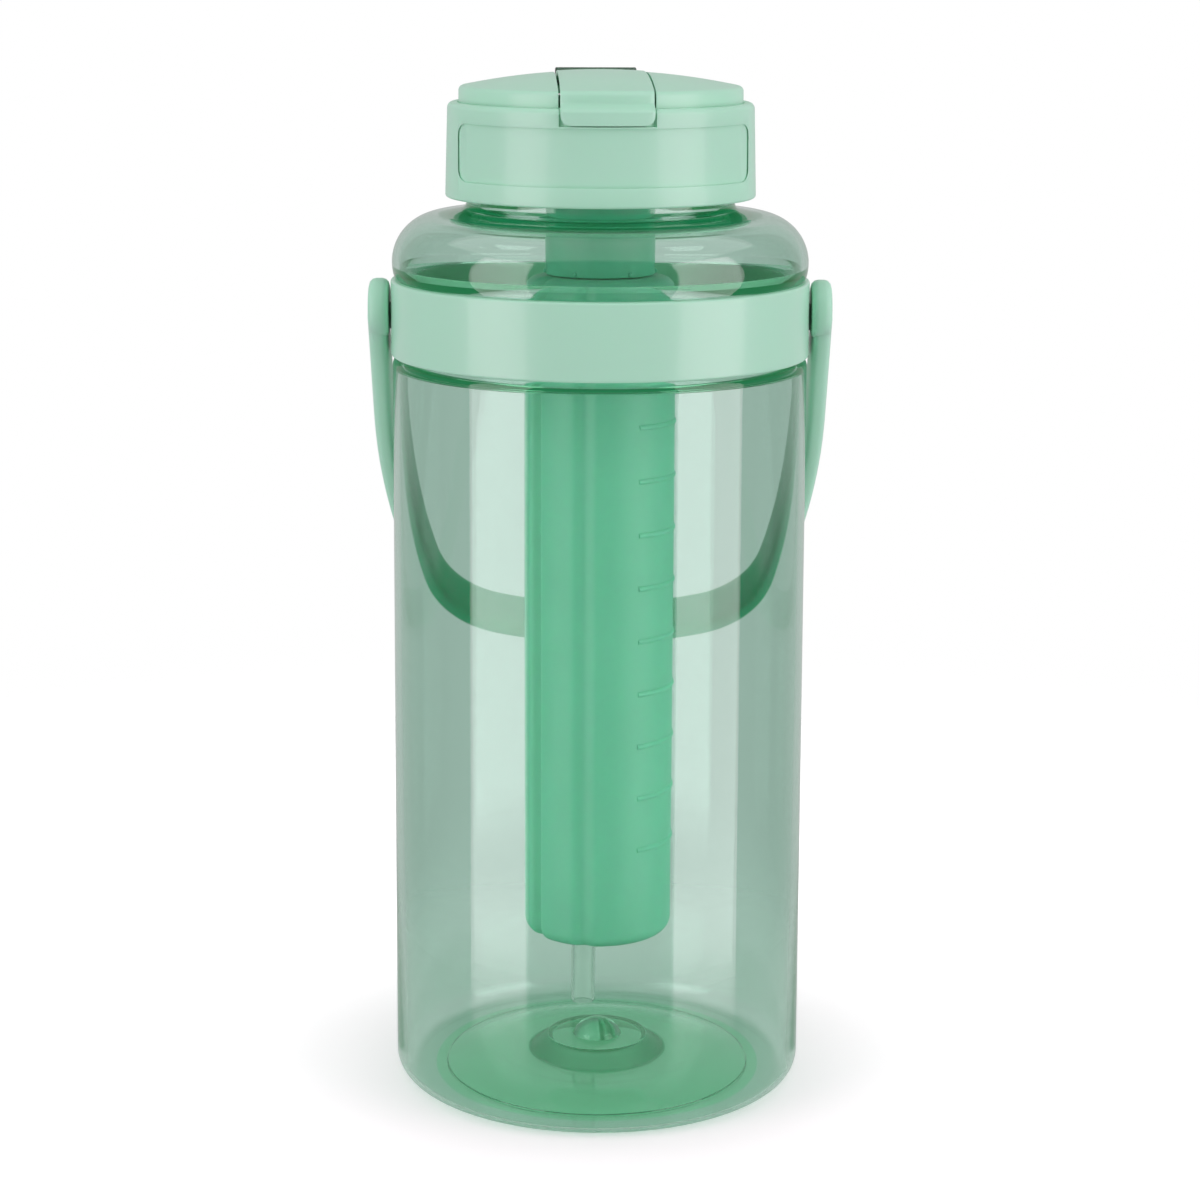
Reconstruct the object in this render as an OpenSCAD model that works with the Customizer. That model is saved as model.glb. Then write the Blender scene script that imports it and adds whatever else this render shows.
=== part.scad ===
// Pitcher with a swing handle, a screw lid with a flip strap, and a cooling core that hangs from the lid.
// Millimetres, +Z up. The origin is the centre of the foot, on the surface that it stands on.

/* [Body] */
// Outer diameter at the foot
body_d = 112; // [104:1:124]
// Height of the straight body, up to the band's groove
body_h = 201; // [180:1:230]
// How far the radius draws in from the foot to the band
body_taper = 0.5; // [0:0.1:1.2]
// Wall of the clear body
wall = 2.2; // [1.8:0.1:2.6]
// Thickness of the floor
floor_t = 1.8; // [1.6:0.1:2.4]
// Radius of the foot's outer edge
base_round = 6; // [3:0.1:7]
// Width of the ring that the body stands on
foot_ring_w = 8; // [6:0.1:9]
// Height of the hollow inside the standing ring
recess_h = 2.8; // [2.4:0.1:3.6]
// Diameter of the raised middle under the floor
kick_d = 26; // [24:1:34]
// Height of the raised middle under the floor
kick_h = 6.7; // [5.4:0.1:8]
// Diameter of the gate nub on the inside of the floor
nub_d = 13.6; // [10:0.1:18]
// Height of the gate nub
nub_h = 4.4; // [3:0.1:6.4]

/* [Shoulder and neck] */
// Radius of the rolled shoulder
shoulder_round = 13; // [11:0.1:15]
// How far the roll reaches below its widest point
shoulder_drop = 4.4; // [2:0.1:6]
// How far the shoulder steps in from the body's side to the neck
shoulder_w = 19.9; // [18.4:0.1:22]
// Height of the neck above the shoulder's crest
neck_h = 22.5; // [20:0.1:26]
// Wall of the neck
neck_wall = 2.4; // [2:0.1:3]

/* [Band] */
// Height of the band round the waist of the shoulder
band_h = 20.2; // [17:0.1:26]
// Thickness of the band
band_t = 2.65; // [2.2:0.05:3.2]
// Depth of the body's groove under the band
groove_depth = 2.4; // [1.8:0.1:3]
// Reach of the lapped ears to each side of the pivots
ear_l = 9; // [7:0.1:12]
// Diameter of the pivot studs
pivot_d = 7.2; // [6:0.1:9]

/* [Handle] */
// Width of the handle's ribbon
bail_w = 15.2; // [12:0.1:18]
// Thickness of the handle's ribbon
bail_t = 5.4; // [4.4:0.1:6.4]
// Distance from the pivots to the middle line of the grip
bail_reach = 114.8; // [105:0.1:130]
// Radius of the grip's gentle bow
bail_crown_r = 110; // [90:1:160]
// Radius of the corners between grip and arms
bail_corner_r = 31; // [24:1:38]
// Radius of the arms' slight inward bow
bail_side_r = 220; // [180:5:400]
// Angle that each arm bows through
bail_side_deg = 15; // [10:0.5:17]

/* [Lid] */
// Room between the neck and the lid's skirt, where the screw threads run
thread_room = 3.1; // [2.6:0.1:3.6]
// Wall of the lid's skirt at its lower edge
skirt_wall = 2.5; // [2.2:0.1:3.4]
// Depth of the skirt below the lid's inner plate
skirt_h = 19.9; // [16:0.1:21]
// How far the skirt draws in towards its top
lid_taper = 0.6; // [0:0.1:1]
// Thickness of the lid's inner plate
plate_t = 2.2; // [1.8:0.1:3]
// Height of the skirt's top step above the inner plate
lid_step_h = 2.8; // [2.4:0.1:3.6]
// Width of the skirt's top step
lid_step_w = 3; // [2.4:0.1:3.6]
// Height of the deck's side above the step
deck_h = 4; // [3.4:0.1:5]
// Rise of the deck's dome
dome_h = 4; // [3:0.1:5]
// Wall of the deck
deck_wall = 2; // [1.6:0.1:2.4]
// Half the angle that each grip panel spans on the skirt
panel_half_deg = 66.3; // [40:0.1:75]
// Depth of the grip panels
panel_depth = 0.8; // [0.5:0.1:1]
// How far the closed lid stands turned from the handle's line
lid_turn_deg = 2.6; // [0:0.1:10]

/* [Flip strap] */
// Width of the strap at its tab
strap_w = 23.9; // [20:0.1:26]
// How much narrower the strap is at its hinge
strap_taper = 1.6; // [0:0.1:3]
// Thickness of the strap
strap_t = 1.7; // [1.4:0.1:2]
// Length of the tab that hangs over the skirt
tab_h = 3.8; // [3:0.1:5]
// Diameter of the clear hinge barrel
barrel_d = 7.2; // [6.4:0.1:7.6]
// Diameter of the hinge pin
pin_d = 2; // [1.6:0.1:2.6]

/* [Spout and straw] */
// Outer diameter of the drinking spout
spout_d = 10.4; // [9:0.1:12]
// Bore of the drinking spout
spout_bore_d = 6; // [5:0.1:7]
// Outer diameter of the straw
straw_d = 6.9; // [6:0.1:8]
// Wall of the straw
straw_wall = 0.8; // [0.6:0.1:1.1]
// Gap from the straw's foot down to the raised floor
straw_foot_gap = 2.7; // [1:0.1:10]
// Lean of the straw
straw_lean_deg = 0.77; // [0:0.01:0.9]

/* [Cooling core] */
// Diameter of the core
core_d = 40.4; // [36:0.1:44]
// Height of the core's body
core_h = 182.5; // [150:1:190]
// Wall of the core
core_wall = 1.6; // [1.2:0.1:2]
// Diameter of the core's neck
core_neck_d = 23; // [20:0.1:25]
// Height of the core's neck
core_neck_h = 18; // [14:0.1:22]
// Length of the holder that hangs from the lid
holder_h = 40.4; // [32:0.1:42]
// Wall of the holder
holder_wall = 2.5; // [2:0.1:3]
// Drop from the core's shoulder to the top level mark
mark_top_drop = 8.3; // [6:0.1:16]
// Number of level marks
mark_count = 11; // [3:1:12]

/* [Hidden] */
$fn = 96;
// Segments in a drawn quarter bend
bend_steps = 8;
// Overrun of every cut
cut = 1;

// Fits
band_fit = 0.15;
band_end_fit = 0.2;
lap_fit = 0.1;
bail_run = 0.35;
pivot_run = 0.06;
rest_gap = 0.3;
seal_fit = 0.1;
strap_run = 0.4;
strap_lift = 0.3;
seat_fit = 0.05;
gel_gap = 0.3;
holder_run = 0.6;

// Body profile
foot_r = body_d / 2;
top_r = foot_r - body_taper;
ring_out_r = foot_r - base_round;
ring_in_r = ring_out_r - foot_ring_w;
recess_step = 0.6;
step_draft = 0.4;
dome_run = 12;
kick_r = kick_d / 2;
kick_flank = 4;
floor_z = recess_h + floor_t;
boss_z = kick_h + floor_t;
boss_step = 1;
boss_r = kick_r + boss_step;
boss_flank = 4.5;
nub_r = nub_d / 2;
nub_ball_r = (nub_r * nub_r + nub_h * nub_h) / (2 * nub_h);
nub_deg = asin((nub_ball_r - nub_h) / nub_ball_r);
inner_round = 4.2;
channel_z = 1.4;
channel_over = 0.4;
channel_r = ring_in_r + channel_over;
groove_r = top_r - groove_depth;
groove_top = body_h + band_h + 2 * band_end_fit;
inner_step = 0.4;

// Shoulder and neck profile
shoulder_c = top_r - shoulder_round;
shoulder_z = groove_top + shoulder_drop;
shoulder_deg = asin(shoulder_drop / shoulder_round);
crest_z = shoulder_z + shoulder_round;
cone_rise = 0.9;
cone_deg = 12;
neck_fillet = 2.2;
neck_r = top_r - shoulder_w;
neck_in_r = neck_r - neck_wall;
rim_z = crest_z + neck_h;
rim_round = 0.6;
shoulder_wall = 1.8;
shoulder_in = shoulder_round - shoulder_wall;
groove_in_r = groove_r - wall;
shoulder_in_deg = 4;
root_round = 1.6;
root_drop = 0.6;

// Band
band_in_r = groove_r + band_fit;
band_r = band_in_r + band_t;
band_z = body_h + band_end_fit;
band_edge = 0.6;
pivot_z = band_z + band_h / 2;
lap_r = band_in_r + band_t / 2;

// Handle
pad_r = 8;
pad_past = 2.5;
pad_t = 5.4;
pad_edge = 2;
pad_in_x = band_r + bail_run;
arm_inset = 0.35;
bail_x = pad_in_x + arm_inset + bail_t / 2;
section_share = 0.6;
section_sides = 20;
crown_steps = 4;
corner_steps = 9;
side_steps = 5;
socket_depth = 3.65;
stud_gap = 0.1;
side_c = bail_side_r - bail_corner_r;
crown_c = bail_crown_r - bail_corner_r;
crown_deg = asin((bail_x - bail_side_r + side_c * cos(bail_side_deg)) / crown_c);
crown_cy = bail_crown_r - bail_reach;
corner_cx = crown_c * sin(crown_deg);
corner_cy = crown_cy - crown_c * cos(crown_deg);
side_cx = corner_cx - side_c * cos(bail_side_deg);
side_cy = corner_cy + side_c * sin(bail_side_deg);
// The handle hangs back until its grip's near edge rests by the body
hang_l = sqrt(bail_reach * bail_reach + bail_w * bail_w / 4);
hang_deg = atan(bail_w / (2 * bail_reach)) + asin((foot_r + rest_gap) / hang_l);

// Lid
gasket_t = 1.5;
gasket_z = rim_z + seal_fit;
plate_z = gasket_z + gasket_t + seal_fit;
plate_top = plate_z + plate_t;
skirt_z = plate_z - skirt_h;
skirt_in_r = neck_r + thread_room;
lid_r = skirt_in_r + skirt_wall;
lid_top_r = lid_r - lid_taper;
step_z = plate_top + lid_step_h;
step_round = 1.6;
skirt_edge = 0.5;
deck_r = lid_top_r - lid_step_w;
deck_fit = 0.2;
deck_edge = 1.5;
deck_z = step_z + deck_h;
crest_top = deck_z + dome_h;
dome_r = (deck_r * deck_r + dome_h * dome_h) / (2 * dome_h);
dome_z = crest_top - dome_r;
panel_low = 5.2;
panel_over = 0.2;
panel_top = plate_z + panel_over;
panel_round = 3;
panel_round_deg = 360 * panel_round / (2 * PI * lid_r);

// Strap and hinge
channel_half = strap_w / 2 + strap_run;
hinge_back = 4.6;
hinge_y = deck_r - hinge_back;
hinge_z = deck_z;
barrel_r = barrel_d / 2;
barrel_half = (strap_w - strap_taper) / 2;
pin_r = pin_d / 2;
barrel_bore_r = pin_r + seat_fit;
ear_w = 3.15;
ear_half = channel_half + ear_w;
ear_wall = 1;
ear_r = pin_r + ear_wall;
pin_half = ear_half - strap_lift;
channel_floor = hinge_z - barrel_r - strap_lift;
front_floor_w = 7.6;
rear_floor_w = 5;
trough_front = deck_r - front_floor_w;
trough_rear = hinge_y - rear_floor_w;
strap_r = dome_r + strap_lift;
bend_r = deck_r + strap_lift;
bend_round = 1.6;
bend_z = step_z + strap_lift;
tab_t = 1.3;
ledge_drop = 1.4;
tab_fit = 0.3;
notch_depth = 0.9;
notch_r = lid_top_r - notch_depth;
tab_r = notch_r + tab_fit + tab_t;
tab_z = bend_z + strap_t / 2 - ledge_drop - tab_h;
tab_round = 2.5;

// Spout, straw and vent
core_r = core_d / 2;
straw_inset = 1.6;
straw_y = core_r - straw_inset;
spout_r = spout_d / 2;
spout_bore_r = spout_bore_d / 2;
spout_lip = 0.8;
straw_r = straw_d / 2;
straw_bore_r = straw_r - straw_wall;
nipple_r = straw_bore_r - seal_fit;
nipple_l = 10.8;
nipple_wall = 1;
nipple_bore_r = nipple_r - nipple_wall;
flange_t = 1.3;
flange_over = 0.45;
flange_r = straw_r + flange_over;
straw_top_gap = 2.4;
straw_top = plate_z - flange_t - straw_top_gap;
straw_foot = boss_z + straw_foot_gap;
straw_l = straw_top - straw_foot;
plug_over = 0.4;
plug_r = spout_r + plug_over;
plug_gap = 0.2;
plug_nose_run = 0.8;
plug_nose_r = spout_bore_r - plug_nose_run;
plug_nose_h = 1.5;
vent_off = 6.4;
vent_y = holder_r() + vent_off;
vent_r = 3;
vent_cap_h = 1.2;
vent_stem_r = 1.2;
vent_foot_r = 1.9;

// Core and holder
core_neck_r = core_neck_d / 2;
holder_in_r = core_neck_r + holder_run;
holder_z = plate_z - holder_h;
core_top = holder_z - rest_gap;
core_z = core_top - core_h;
core_top_round = 4.5;
core_low_round = 4;
lug_r = 0.7;
lug_up = 1;
lug_count = 6;
ring_r = 0.6;
ring_drop = 6;
ring_groove_fit = 0.06;
o_ring_c = holder_in_r - seal_fit - ring_r;
plug_t = 4;
gel_share = 0.92;
mark_r = 0.55;
mark_low = 27.8;
mark_pitch = (core_h - mark_top_drop - mark_low) / (mark_count - 1);
mark_from_deg = 29;
mark_span_deg = 68.4;
// Each crease is [turn from the front, depth, lip radius]
crease_front = [-14.1, 2.4, 3];
crease_side = [-61, 3.9, 3.6];
flute_r = 6;
flute_out = 0.9;
flute_x = -straw_l / 2 * sin(straw_lean_deg);

function holder_r() = core_neck_d / 2 + holder_run + holder_wall;

function arc(cx, cy, r, from, to, steps = bend_steps) =
    [for (i = [0:steps]) [cx + r * cos(from + (to - from) * i / steps), cy + r * sin(from + (to - from) * i / steps)]];

// Radius of the lid's outside at a height
function lid_side(z) = lid_r - lid_taper * (z - skirt_z) / (step_z - skirt_z);

module revolve(points) {
    rotate_extrude() polygon(points);
}

// Puts the lid and what hangs from it at the angle it was screwed to
module turned() {
    rotate([0, 0, lid_turn_deg]) children();
}

// Box centred on X, from one Y to another and one Z to another
module slab(half_w, y0, y1, z0, z1) {
    translate([-half_w, y0, z0]) cube([2 * half_w, y1 - y0, z1 - z0]);
}

module jug_body() {
    underside = concat(
        [[0, kick_h], [kick_r, kick_h], [kick_r + kick_flank, recess_h], [ring_in_r - dome_run, recess_h]],
        [[ring_in_r - step_draft, recess_step], [ring_in_r, 0]],
        arc(ring_out_r, base_round, base_round, -90, 0));
    outside = concat(
        arc(groove_r, body_h - groove_depth, groove_depth, 0, 90),
        [[groove_r, groove_top]],
        arc(shoulder_c, shoulder_z, shoulder_round, -shoulder_deg, 90, 2 * bend_steps),
        arc(neck_r + neck_fillet, crest_z + cone_rise + neck_fillet, neck_fillet, 270 - cone_deg, 180),
        arc(neck_r - rim_round, rim_z - rim_round, rim_round, 0, 90));
    inside = concat(
        arc(neck_in_r + rim_round, rim_z - rim_round, rim_round, 90, 180),
        arc(neck_in_r + root_round, shoulder_z + shoulder_in + root_round - root_drop, root_round, 180, 270),
        arc(shoulder_c, shoulder_z, shoulder_in, 90, -shoulder_in_deg, 2 * bend_steps),
        [[groove_in_r, groove_top], [groove_in_r, body_h - wall], [top_r - wall, body_h - wall - inner_step]],
        arc(foot_r - wall - inner_round, channel_z + inner_round, inner_round, 0, -90),
        [[channel_r, channel_z], [channel_r - step_draft, channel_z + recess_step], [channel_r - dome_run, floor_z]],
        [[boss_r + boss_flank, floor_z], [boss_r, boss_z]],
        arc(0, boss_z + nub_h - nub_ball_r, nub_ball_r, nub_deg, 90));
    color("#c8d7cf", 0.35) revolve(concat(underside, outside, inside));
}

// Full ring of the band between two radii
module band_ring(r_in, r_out) {
    revolve(concat(
        arc(r_out - band_edge, band_z + band_edge, band_edge, -90, 0),
        arc(r_out - band_edge, band_z + band_h - band_edge, band_edge, 0, 90),
        [[r_in, band_z + band_h], [r_in, band_z]]));
}

// Everything ahead of a line across the body, as deep as the band
module ahead_of(y) {
    slab(foot_r + cut, -foot_r - cut, y, band_z - cut, band_z + band_h + cut);
}

module behind(y) {
    slab(foot_r + cut, y, foot_r + cut, band_z - cut, band_z + band_h + cut);
}

module across_x(r, x0, x1) {
    for (side = [-1, 1])
        translate([side * (x0 + x1) / 2, 0, pivot_z]) rotate([0, 90, 0]) cylinder(r = r, h = x1 - x0, center = true);
}

// The front half carries the outer ears
module band_front() {
    color("#b0d8c4") difference() {
        union() {
            intersection() {
                band_ring(band_in_r, band_r);
                ahead_of(-ear_l);
            }
            intersection() {
                band_ring(lap_r + lap_fit / 2, band_r);
                ahead_of(ear_l);
                behind(-ear_l);
            }
        }
        across_x(pivot_d / 2, groove_r - cut, band_r + cut);
    }
}

// The rear half carries the inner ears
module band_rear() {
    color("#b0d8c4") difference() {
        union() {
            intersection() {
                band_ring(band_in_r, band_r);
                behind(ear_l + lap_fit);
            }
            intersection() {
                rotate_extrude() translate([band_in_r, band_z]) square([band_t / 2 - lap_fit / 2, band_h]);
                behind(-ear_l + lap_fit);
                ahead_of(ear_l + lap_fit);
            }
        }
        across_x(pivot_d / 2, groove_r - cut, band_r + cut);
    }
}

// Studs pressed through both ears, on which the handle turns
module pivot_studs() {
    color("#3d6b58") across_x(pivot_d / 2, band_in_r, pad_in_x + socket_depth - stud_gap);
}

// Stations along one bend of the handle's middle line, each [x, y, angle of its outward normal]
function bend(cx, cy, r, from, to, steps) =
    [for (i = [0:steps]) let (a = from + (to - from) * i / steps) [cx + r * cos(a), cy + r * sin(a), a]];

function without_first(list) = [for (i = [1:len(list) - 1]) list[i]];

// From the middle of the grip round one corner and up the arm
function bail_side() = concat(
    without_first(bend(0, crown_cy, bail_crown_r, -90, crown_deg - 90, crown_steps)),
    without_first(bend(corner_cx, corner_cy, bail_corner_r, crown_deg - 90, -bail_side_deg, corner_steps)),
    without_first(bend(side_cx, side_cy, bail_side_r, -bail_side_deg, 0, side_steps)),
    [[bail_x, pad_past, 0]]);

// One point of the soft-edged section, [outward, across]
function rounded(v) = sign(v) * pow(abs(v), section_share);
function section_point(k) = let (a = 360 * (k + 0.5) / section_sides)
    [bail_t / 2 * rounded(cos(a)), bail_w / 2 * rounded(sin(a))];

// The ribbon is one section swept along the whole middle line
module bail_ribbon() {
    right = bail_side();
    n = len(right);
    path = concat(
        [for (i = [n - 1:-1:0]) [-right[i][0], right[i][1], 180 - right[i][2]]],
        [[0, crown_cy - bail_crown_r, -90]],
        right);
    section = [for (k = [0:section_sides - 1]) section_point(k)];
    points = [for (p = path) for (q = section) [p[0] + q[0] * cos(p[2]), p[1] + q[0] * sin(p[2]), q[1]]];
    last = len(path) - 1;
    m = section_sides;
    polyhedron(points, concat(
        [for (k = [1:m - 2]) [0, k + 1, k]],
        [for (k = [1:m - 2]) [last * m, last * m + k, last * m + k + 1]],
        [for (i = [0:last - 1]) for (k = [0:m - 1]) let (a = i * m + k, b = i * m + (k + 1) % m)
            each [[a, b + m, a + m], [a, b, b + m]]]), convexity = 4);
}

module bail_pad() {
    translate([0, pad_past]) rotate([0, 90, 0]) translate([0, 0, pad_in_x]) revolve(concat(
        [[0, 0]],
        arc(pad_r - pad_edge / 2, pad_edge / 2, pad_edge / 2, -90, 0),
        arc(pad_r - pad_edge, pad_t - pad_edge, pad_edge, 0, 90),
        [[0, pad_t]]));
}

module bail_handle() {
    color("#b0d8c4") translate([0, 0, pivot_z]) rotate([hang_deg, 0, 0]) difference() {
        rotate([90, 0, 0]) {
            bail_ribbon();
            bail_pad();
            mirror([1, 0, 0]) bail_pad();
        }
        for (side = [-1, 1])
            translate([side * (pad_in_x + (socket_depth - cut) / 2), 0, 0]) rotate([0, 90, 0])
                cylinder(r = pivot_d / 2 + pivot_run, h = socket_depth + cut, center = true);
    }
}

// Shallow recessed grip panel with rounded corners, for cutting from the skirt
module grip_panel() {
    low = skirt_z + panel_low;
    out_r = lid_r + cut;
    reach_deg = panel_half_deg - panel_round_deg;
    intersection() {
        revolve([[lid_side(low) - panel_depth, low], [out_r, low], [out_r, panel_top], [lid_side(panel_top) - panel_depth, panel_top]]);
        union() {
            rotate([0, 0, -panel_half_deg]) rotate_extrude(angle = 2 * panel_half_deg)
                translate([skirt_in_r, low + panel_round]) square([out_r - skirt_in_r, panel_top - low - 2 * panel_round]);
            rotate([0, 0, -reach_deg]) rotate_extrude(angle = 2 * reach_deg)
                translate([skirt_in_r, low]) square([out_r - skirt_in_r, panel_top - low]);
            for (turn = [-reach_deg, reach_deg])
                for (z = [low + panel_round, panel_top - panel_round])
                    rotate([0, 0, turn]) translate([0, 0, z]) rotate([0, 90, 0]) cylinder(r = panel_round, h = out_r);
        }
    }
}

module lid_skirt() {
    color("#b0d8c4") turned() difference() {
        revolve(concat(
            [[0, plate_z], [skirt_in_r, plate_z], [skirt_in_r, skirt_z + skirt_edge], [skirt_in_r + skirt_edge, skirt_z]],
            arc(lid_r - skirt_edge, skirt_z + skirt_edge, skirt_edge, -90, 0),
            arc(lid_top_r - step_round, step_z - step_round, step_round, 0, 90),
            [[deck_r + deck_fit, step_z], [deck_r + deck_fit, plate_top], [0, plate_top]]));
        for (turn = [-90, 90])
            rotate([0, 0, turn]) grip_panel();
        // Seat of the strap's tab
        intersection() {
            revolve([[deck_r + deck_fit, bend_z - tab_fit], [bend_r, bend_z - tab_fit],
                [notch_r, tab_z + tab_h - ledge_drop / 2 - tab_fit], [notch_r, tab_z - tab_fit],
                [lid_r + cut, tab_z - tab_fit], [lid_r + cut, step_z + cut], [deck_r + deck_fit, step_z + cut]]);
            slab(channel_half, -lid_r - cut, 0, skirt_z, step_z + 2 * cut);
        }
        translate([0, straw_y, plate_z - cut]) cylinder(r = spout_bore_r, h = plate_t + 2 * cut);
        translate([0, -vent_y, plate_z - cut]) cylinder(r = vent_stem_r, h = plate_t + 2 * cut);
    }
}

// Domed outer shape of the deck, drawn in from the outside by an inset
module deck_dome(inset) {
    r = deck_r - inset;
    ball = dome_r - inset;
    edge_z = dome_z + sqrt(ball * ball - (r - deck_edge) * (r - deck_edge));
    edge_deg = atan((edge_z - dome_z) / (r - deck_edge));
    revolve(concat([[0, plate_top], [r, plate_top]],
        arc(r - deck_edge, edge_z - deck_edge, deck_edge, 0, 90),
        arc(0, dome_z, ball, edge_deg, 90)));
}

module deck_ears(r) {
    for (side = [-1, 1])
        translate([side * (channel_half + ear_half) / 2, hinge_y, hinge_z]) rotate([0, 90, 0])
            cylinder(r = r, h = ear_half - channel_half, center = true);
}

module lid_deck() {
    color("#b0d8c4") turned() difference() {
        union() {
            difference() {
                deck_dome(0);
                difference() {
                    translate([0, 0, -cut]) deck_dome(deck_wall);
                    slab(channel_half + deck_wall, -deck_r, deck_r, plate_top - 2 * cut, crest_top);
                }
            }
            deck_ears(ear_r);
            intersection() {
                deck_dome(0);
                for (side = [-1, 1])
                    translate([side * (channel_half + ear_half) / 2, hinge_y, plate_top])
                        linear_extrude(hinge_z - plate_top) square([ear_half - channel_half, 2 * ear_r], center = true);
            }
        }
        slab(channel_half, -deck_r - cut, deck_r + cut, channel_floor, crest_top + cut);
        slab(channel_half, -trough_front, trough_rear, plate_top - cut, crest_top);
        translate([0, hinge_y, hinge_z]) rotate([0, 90, 0]) cylinder(r = pin_r, h = 2 * pin_half, center = true);
    }
}

module hinge_pin() {
    color("#b9bec2") turned() translate([0, hinge_y, hinge_z]) rotate([0, 90, 0])
        cylinder(r = pin_r, h = 2 * pin_half, center = true);
}

module hinge_barrel() {
    color("#2f6a50", 0.8) turned() translate([0, hinge_y, hinge_z]) rotate([0, 90, 0]) difference() {
        cylinder(r = barrel_r, h = 2 * barrel_half, center = true);
        cylinder(r = barrel_bore_r, h = 2 * barrel_half + 2 * cut, center = true);
    }
}

// The strap follows the dome, bends down over the deck's edge and ends in a tab over the skirt
module flip_strap() {
    bend_in = bend_r - strap_t;
    inner_ball = strap_r - strap_t;
    top_z = dome_z + sqrt(strap_r * strap_r - (bend_r - bend_round) * (bend_r - bend_round));
    under_z = dome_z + sqrt(inner_ball * inner_ball - (bend_in - bend_round) * (bend_in - bend_round));
    ledge_z = bend_z + strap_t / 2;
    color("#b0d8c4") turned() difference() {
        intersection() {
            revolve(concat(
                arc(0, dome_z, strap_r, 90, atan((top_z - dome_z) / (bend_r - bend_round))),
                arc(bend_r - bend_round, top_z - bend_round, bend_round, 90, 0),
                [[bend_r, ledge_z], [tab_r, ledge_z - ledge_drop], [tab_r, tab_z], [tab_r - tab_t, tab_z],
                    [tab_r - tab_t, tab_z + tab_h - ledge_drop / 2], [bend_in + strap_t, bend_z], [bend_in, bend_z]],
                arc(bend_in - bend_round, under_z - bend_round, bend_round, 0, 90),
                arc(0, dome_z, inner_ball, atan((under_z - dome_z) / (bend_in - bend_round)), 90)));
            translate([0, 0, tab_z - cut]) linear_extrude(crest_top - tab_z + 2 * cut) polygon([
                [-strap_w / 2, -tab_r - cut], [strap_w / 2, -tab_r - cut],
                [strap_w / 2 - strap_taper / 2, hinge_y], [strap_taper / 2 - strap_w / 2, hinge_y]]);
            rotate([90, 0, 0]) linear_extrude(2 * (tab_r + cut), center = true) {
                translate([-strap_w / 2, tab_z + tab_round]) square([strap_w, crest_top + cut - tab_z]);
                translate([tab_round - strap_w / 2, tab_z]) square([strap_w - 2 * tab_round, tab_round + cut]);
                for (side = [-1, 1])
                    translate([side * (strap_w / 2 - tab_round), tab_z + tab_round]) circle(r = tab_round);
            }
        }
        translate([0, hinge_y, hinge_z]) rotate([0, 90, 0])
            cylinder(r = barrel_r + seat_fit, h = strap_w + 2 * cut, center = true);
    }
}

module spout() {
    color("#b0d8c4") turned() translate([0, straw_y, plate_top]) difference() {
        revolve(concat([[0, 0], [spout_r, 0]],
            arc(spout_r - spout_lip, hinge_z - plate_top - spout_lip, spout_lip, 0, 90),
            [[0, hinge_z - plate_top]]));
        translate([0, 0, -cut]) cylinder(r = spout_bore_r, h = hinge_z - plate_top + 2 * cut);
    }
}

// Soft stopper under the strap that closes the spout
module spout_plug() {
    color("#e9eeea") turned() intersection() {
        translate([0, straw_y, hinge_z]) union() {
            translate([0, 0, plug_gap]) cylinder(r = plug_r, h = dome_h);
            translate([0, 0, plug_gap - plug_nose_h]) cylinder(r = plug_nose_r, h = plug_nose_h + cut);
        }
        revolve(concat([[0, plate_top]], arc(0, dome_z, strap_r - strap_t - seat_fit, acos(deck_r / strap_r), 90)));
    }
}

// Small mushroom valve that lets air in as the pitcher pours
module vent_valve() {
    color("#e9eeea") turned() translate([0, -vent_y, plate_top]) {
        cylinder(r = vent_r, h = vent_cap_h);
        translate([0, 0, -plate_t]) cylinder(r = vent_stem_r, h = plate_t);
        translate([0, 0, -plate_t - vent_cap_h]) cylinder(r = vent_foot_r, h = vent_cap_h);
    }
}

module lid_gasket() {
    gasket_w = neck_wall + thread_room / 3;
    color("#e9eeea") translate([0, 0, gasket_z]) difference() {
        cylinder(r = neck_in_r + gasket_w, h = gasket_t);
        translate([0, 0, -cut]) cylinder(r = neck_in_r - seal_fit, h = gasket_t + 2 * cut);
    }
}

module straw_adapter() {
    color("#b0d8c4") turned() translate([0, straw_y, plate_z]) difference() {
        union() {
            translate([0, 0, -flange_t]) cylinder(r = flange_r, h = flange_t);
            translate([0, 0, -nipple_l]) cylinder(r = nipple_r, h = nipple_l);
        }
        translate([0, 0, -nipple_l - cut]) cylinder(r = nipple_bore_r, h = nipple_l + 2 * cut);
    }
}

module straw() {
    color("#d5e8de") turned() translate([0, straw_y, straw_top]) rotate([0, straw_lean_deg, 0]) difference() {
        translate([0, 0, -straw_l]) cylinder(r = straw_r, h = straw_l);
        translate([0, 0, -straw_l - cut]) cylinder(r = straw_bore_r, h = straw_l + 2 * cut);
    }
}

// Sleeve under the lid that grips the core's neck
module core_holder() {
    color("#8fc9ab") turned() {
        difference() {
            translate([0, 0, holder_z]) cylinder(r = holder_r(), h = holder_h);
            translate([0, 0, holder_z - cut]) cylinder(r = holder_in_r, h = holder_h + 2 * cut);
        }
        for (i = [0:lug_count - 1])
            rotate([0, 0, (i + 0.5) * 360 / lug_count]) translate([0, -holder_r(), holder_z + lug_up]) sphere(r = lug_r);
    }
}

// Folded-in crease of the core, with soft lips, grown by an inset
module crease(spec, inset) {
    lip = spec[2];
    lip_y = sqrt((core_r - lip) * (core_r - lip) - lip * lip);
    half_w = lip * core_r / (core_r - lip);
    bottom = core_r - spec[1] - inset;
    rotate(spec[0]) difference() {
        translate([-half_w, -core_r - cut]) square([2 * half_w, core_r + cut - bottom]);
        for (side = [-1, 1])
            translate([side * lip, -lip_y]) circle(r = lip - inset);
    }
}

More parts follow.
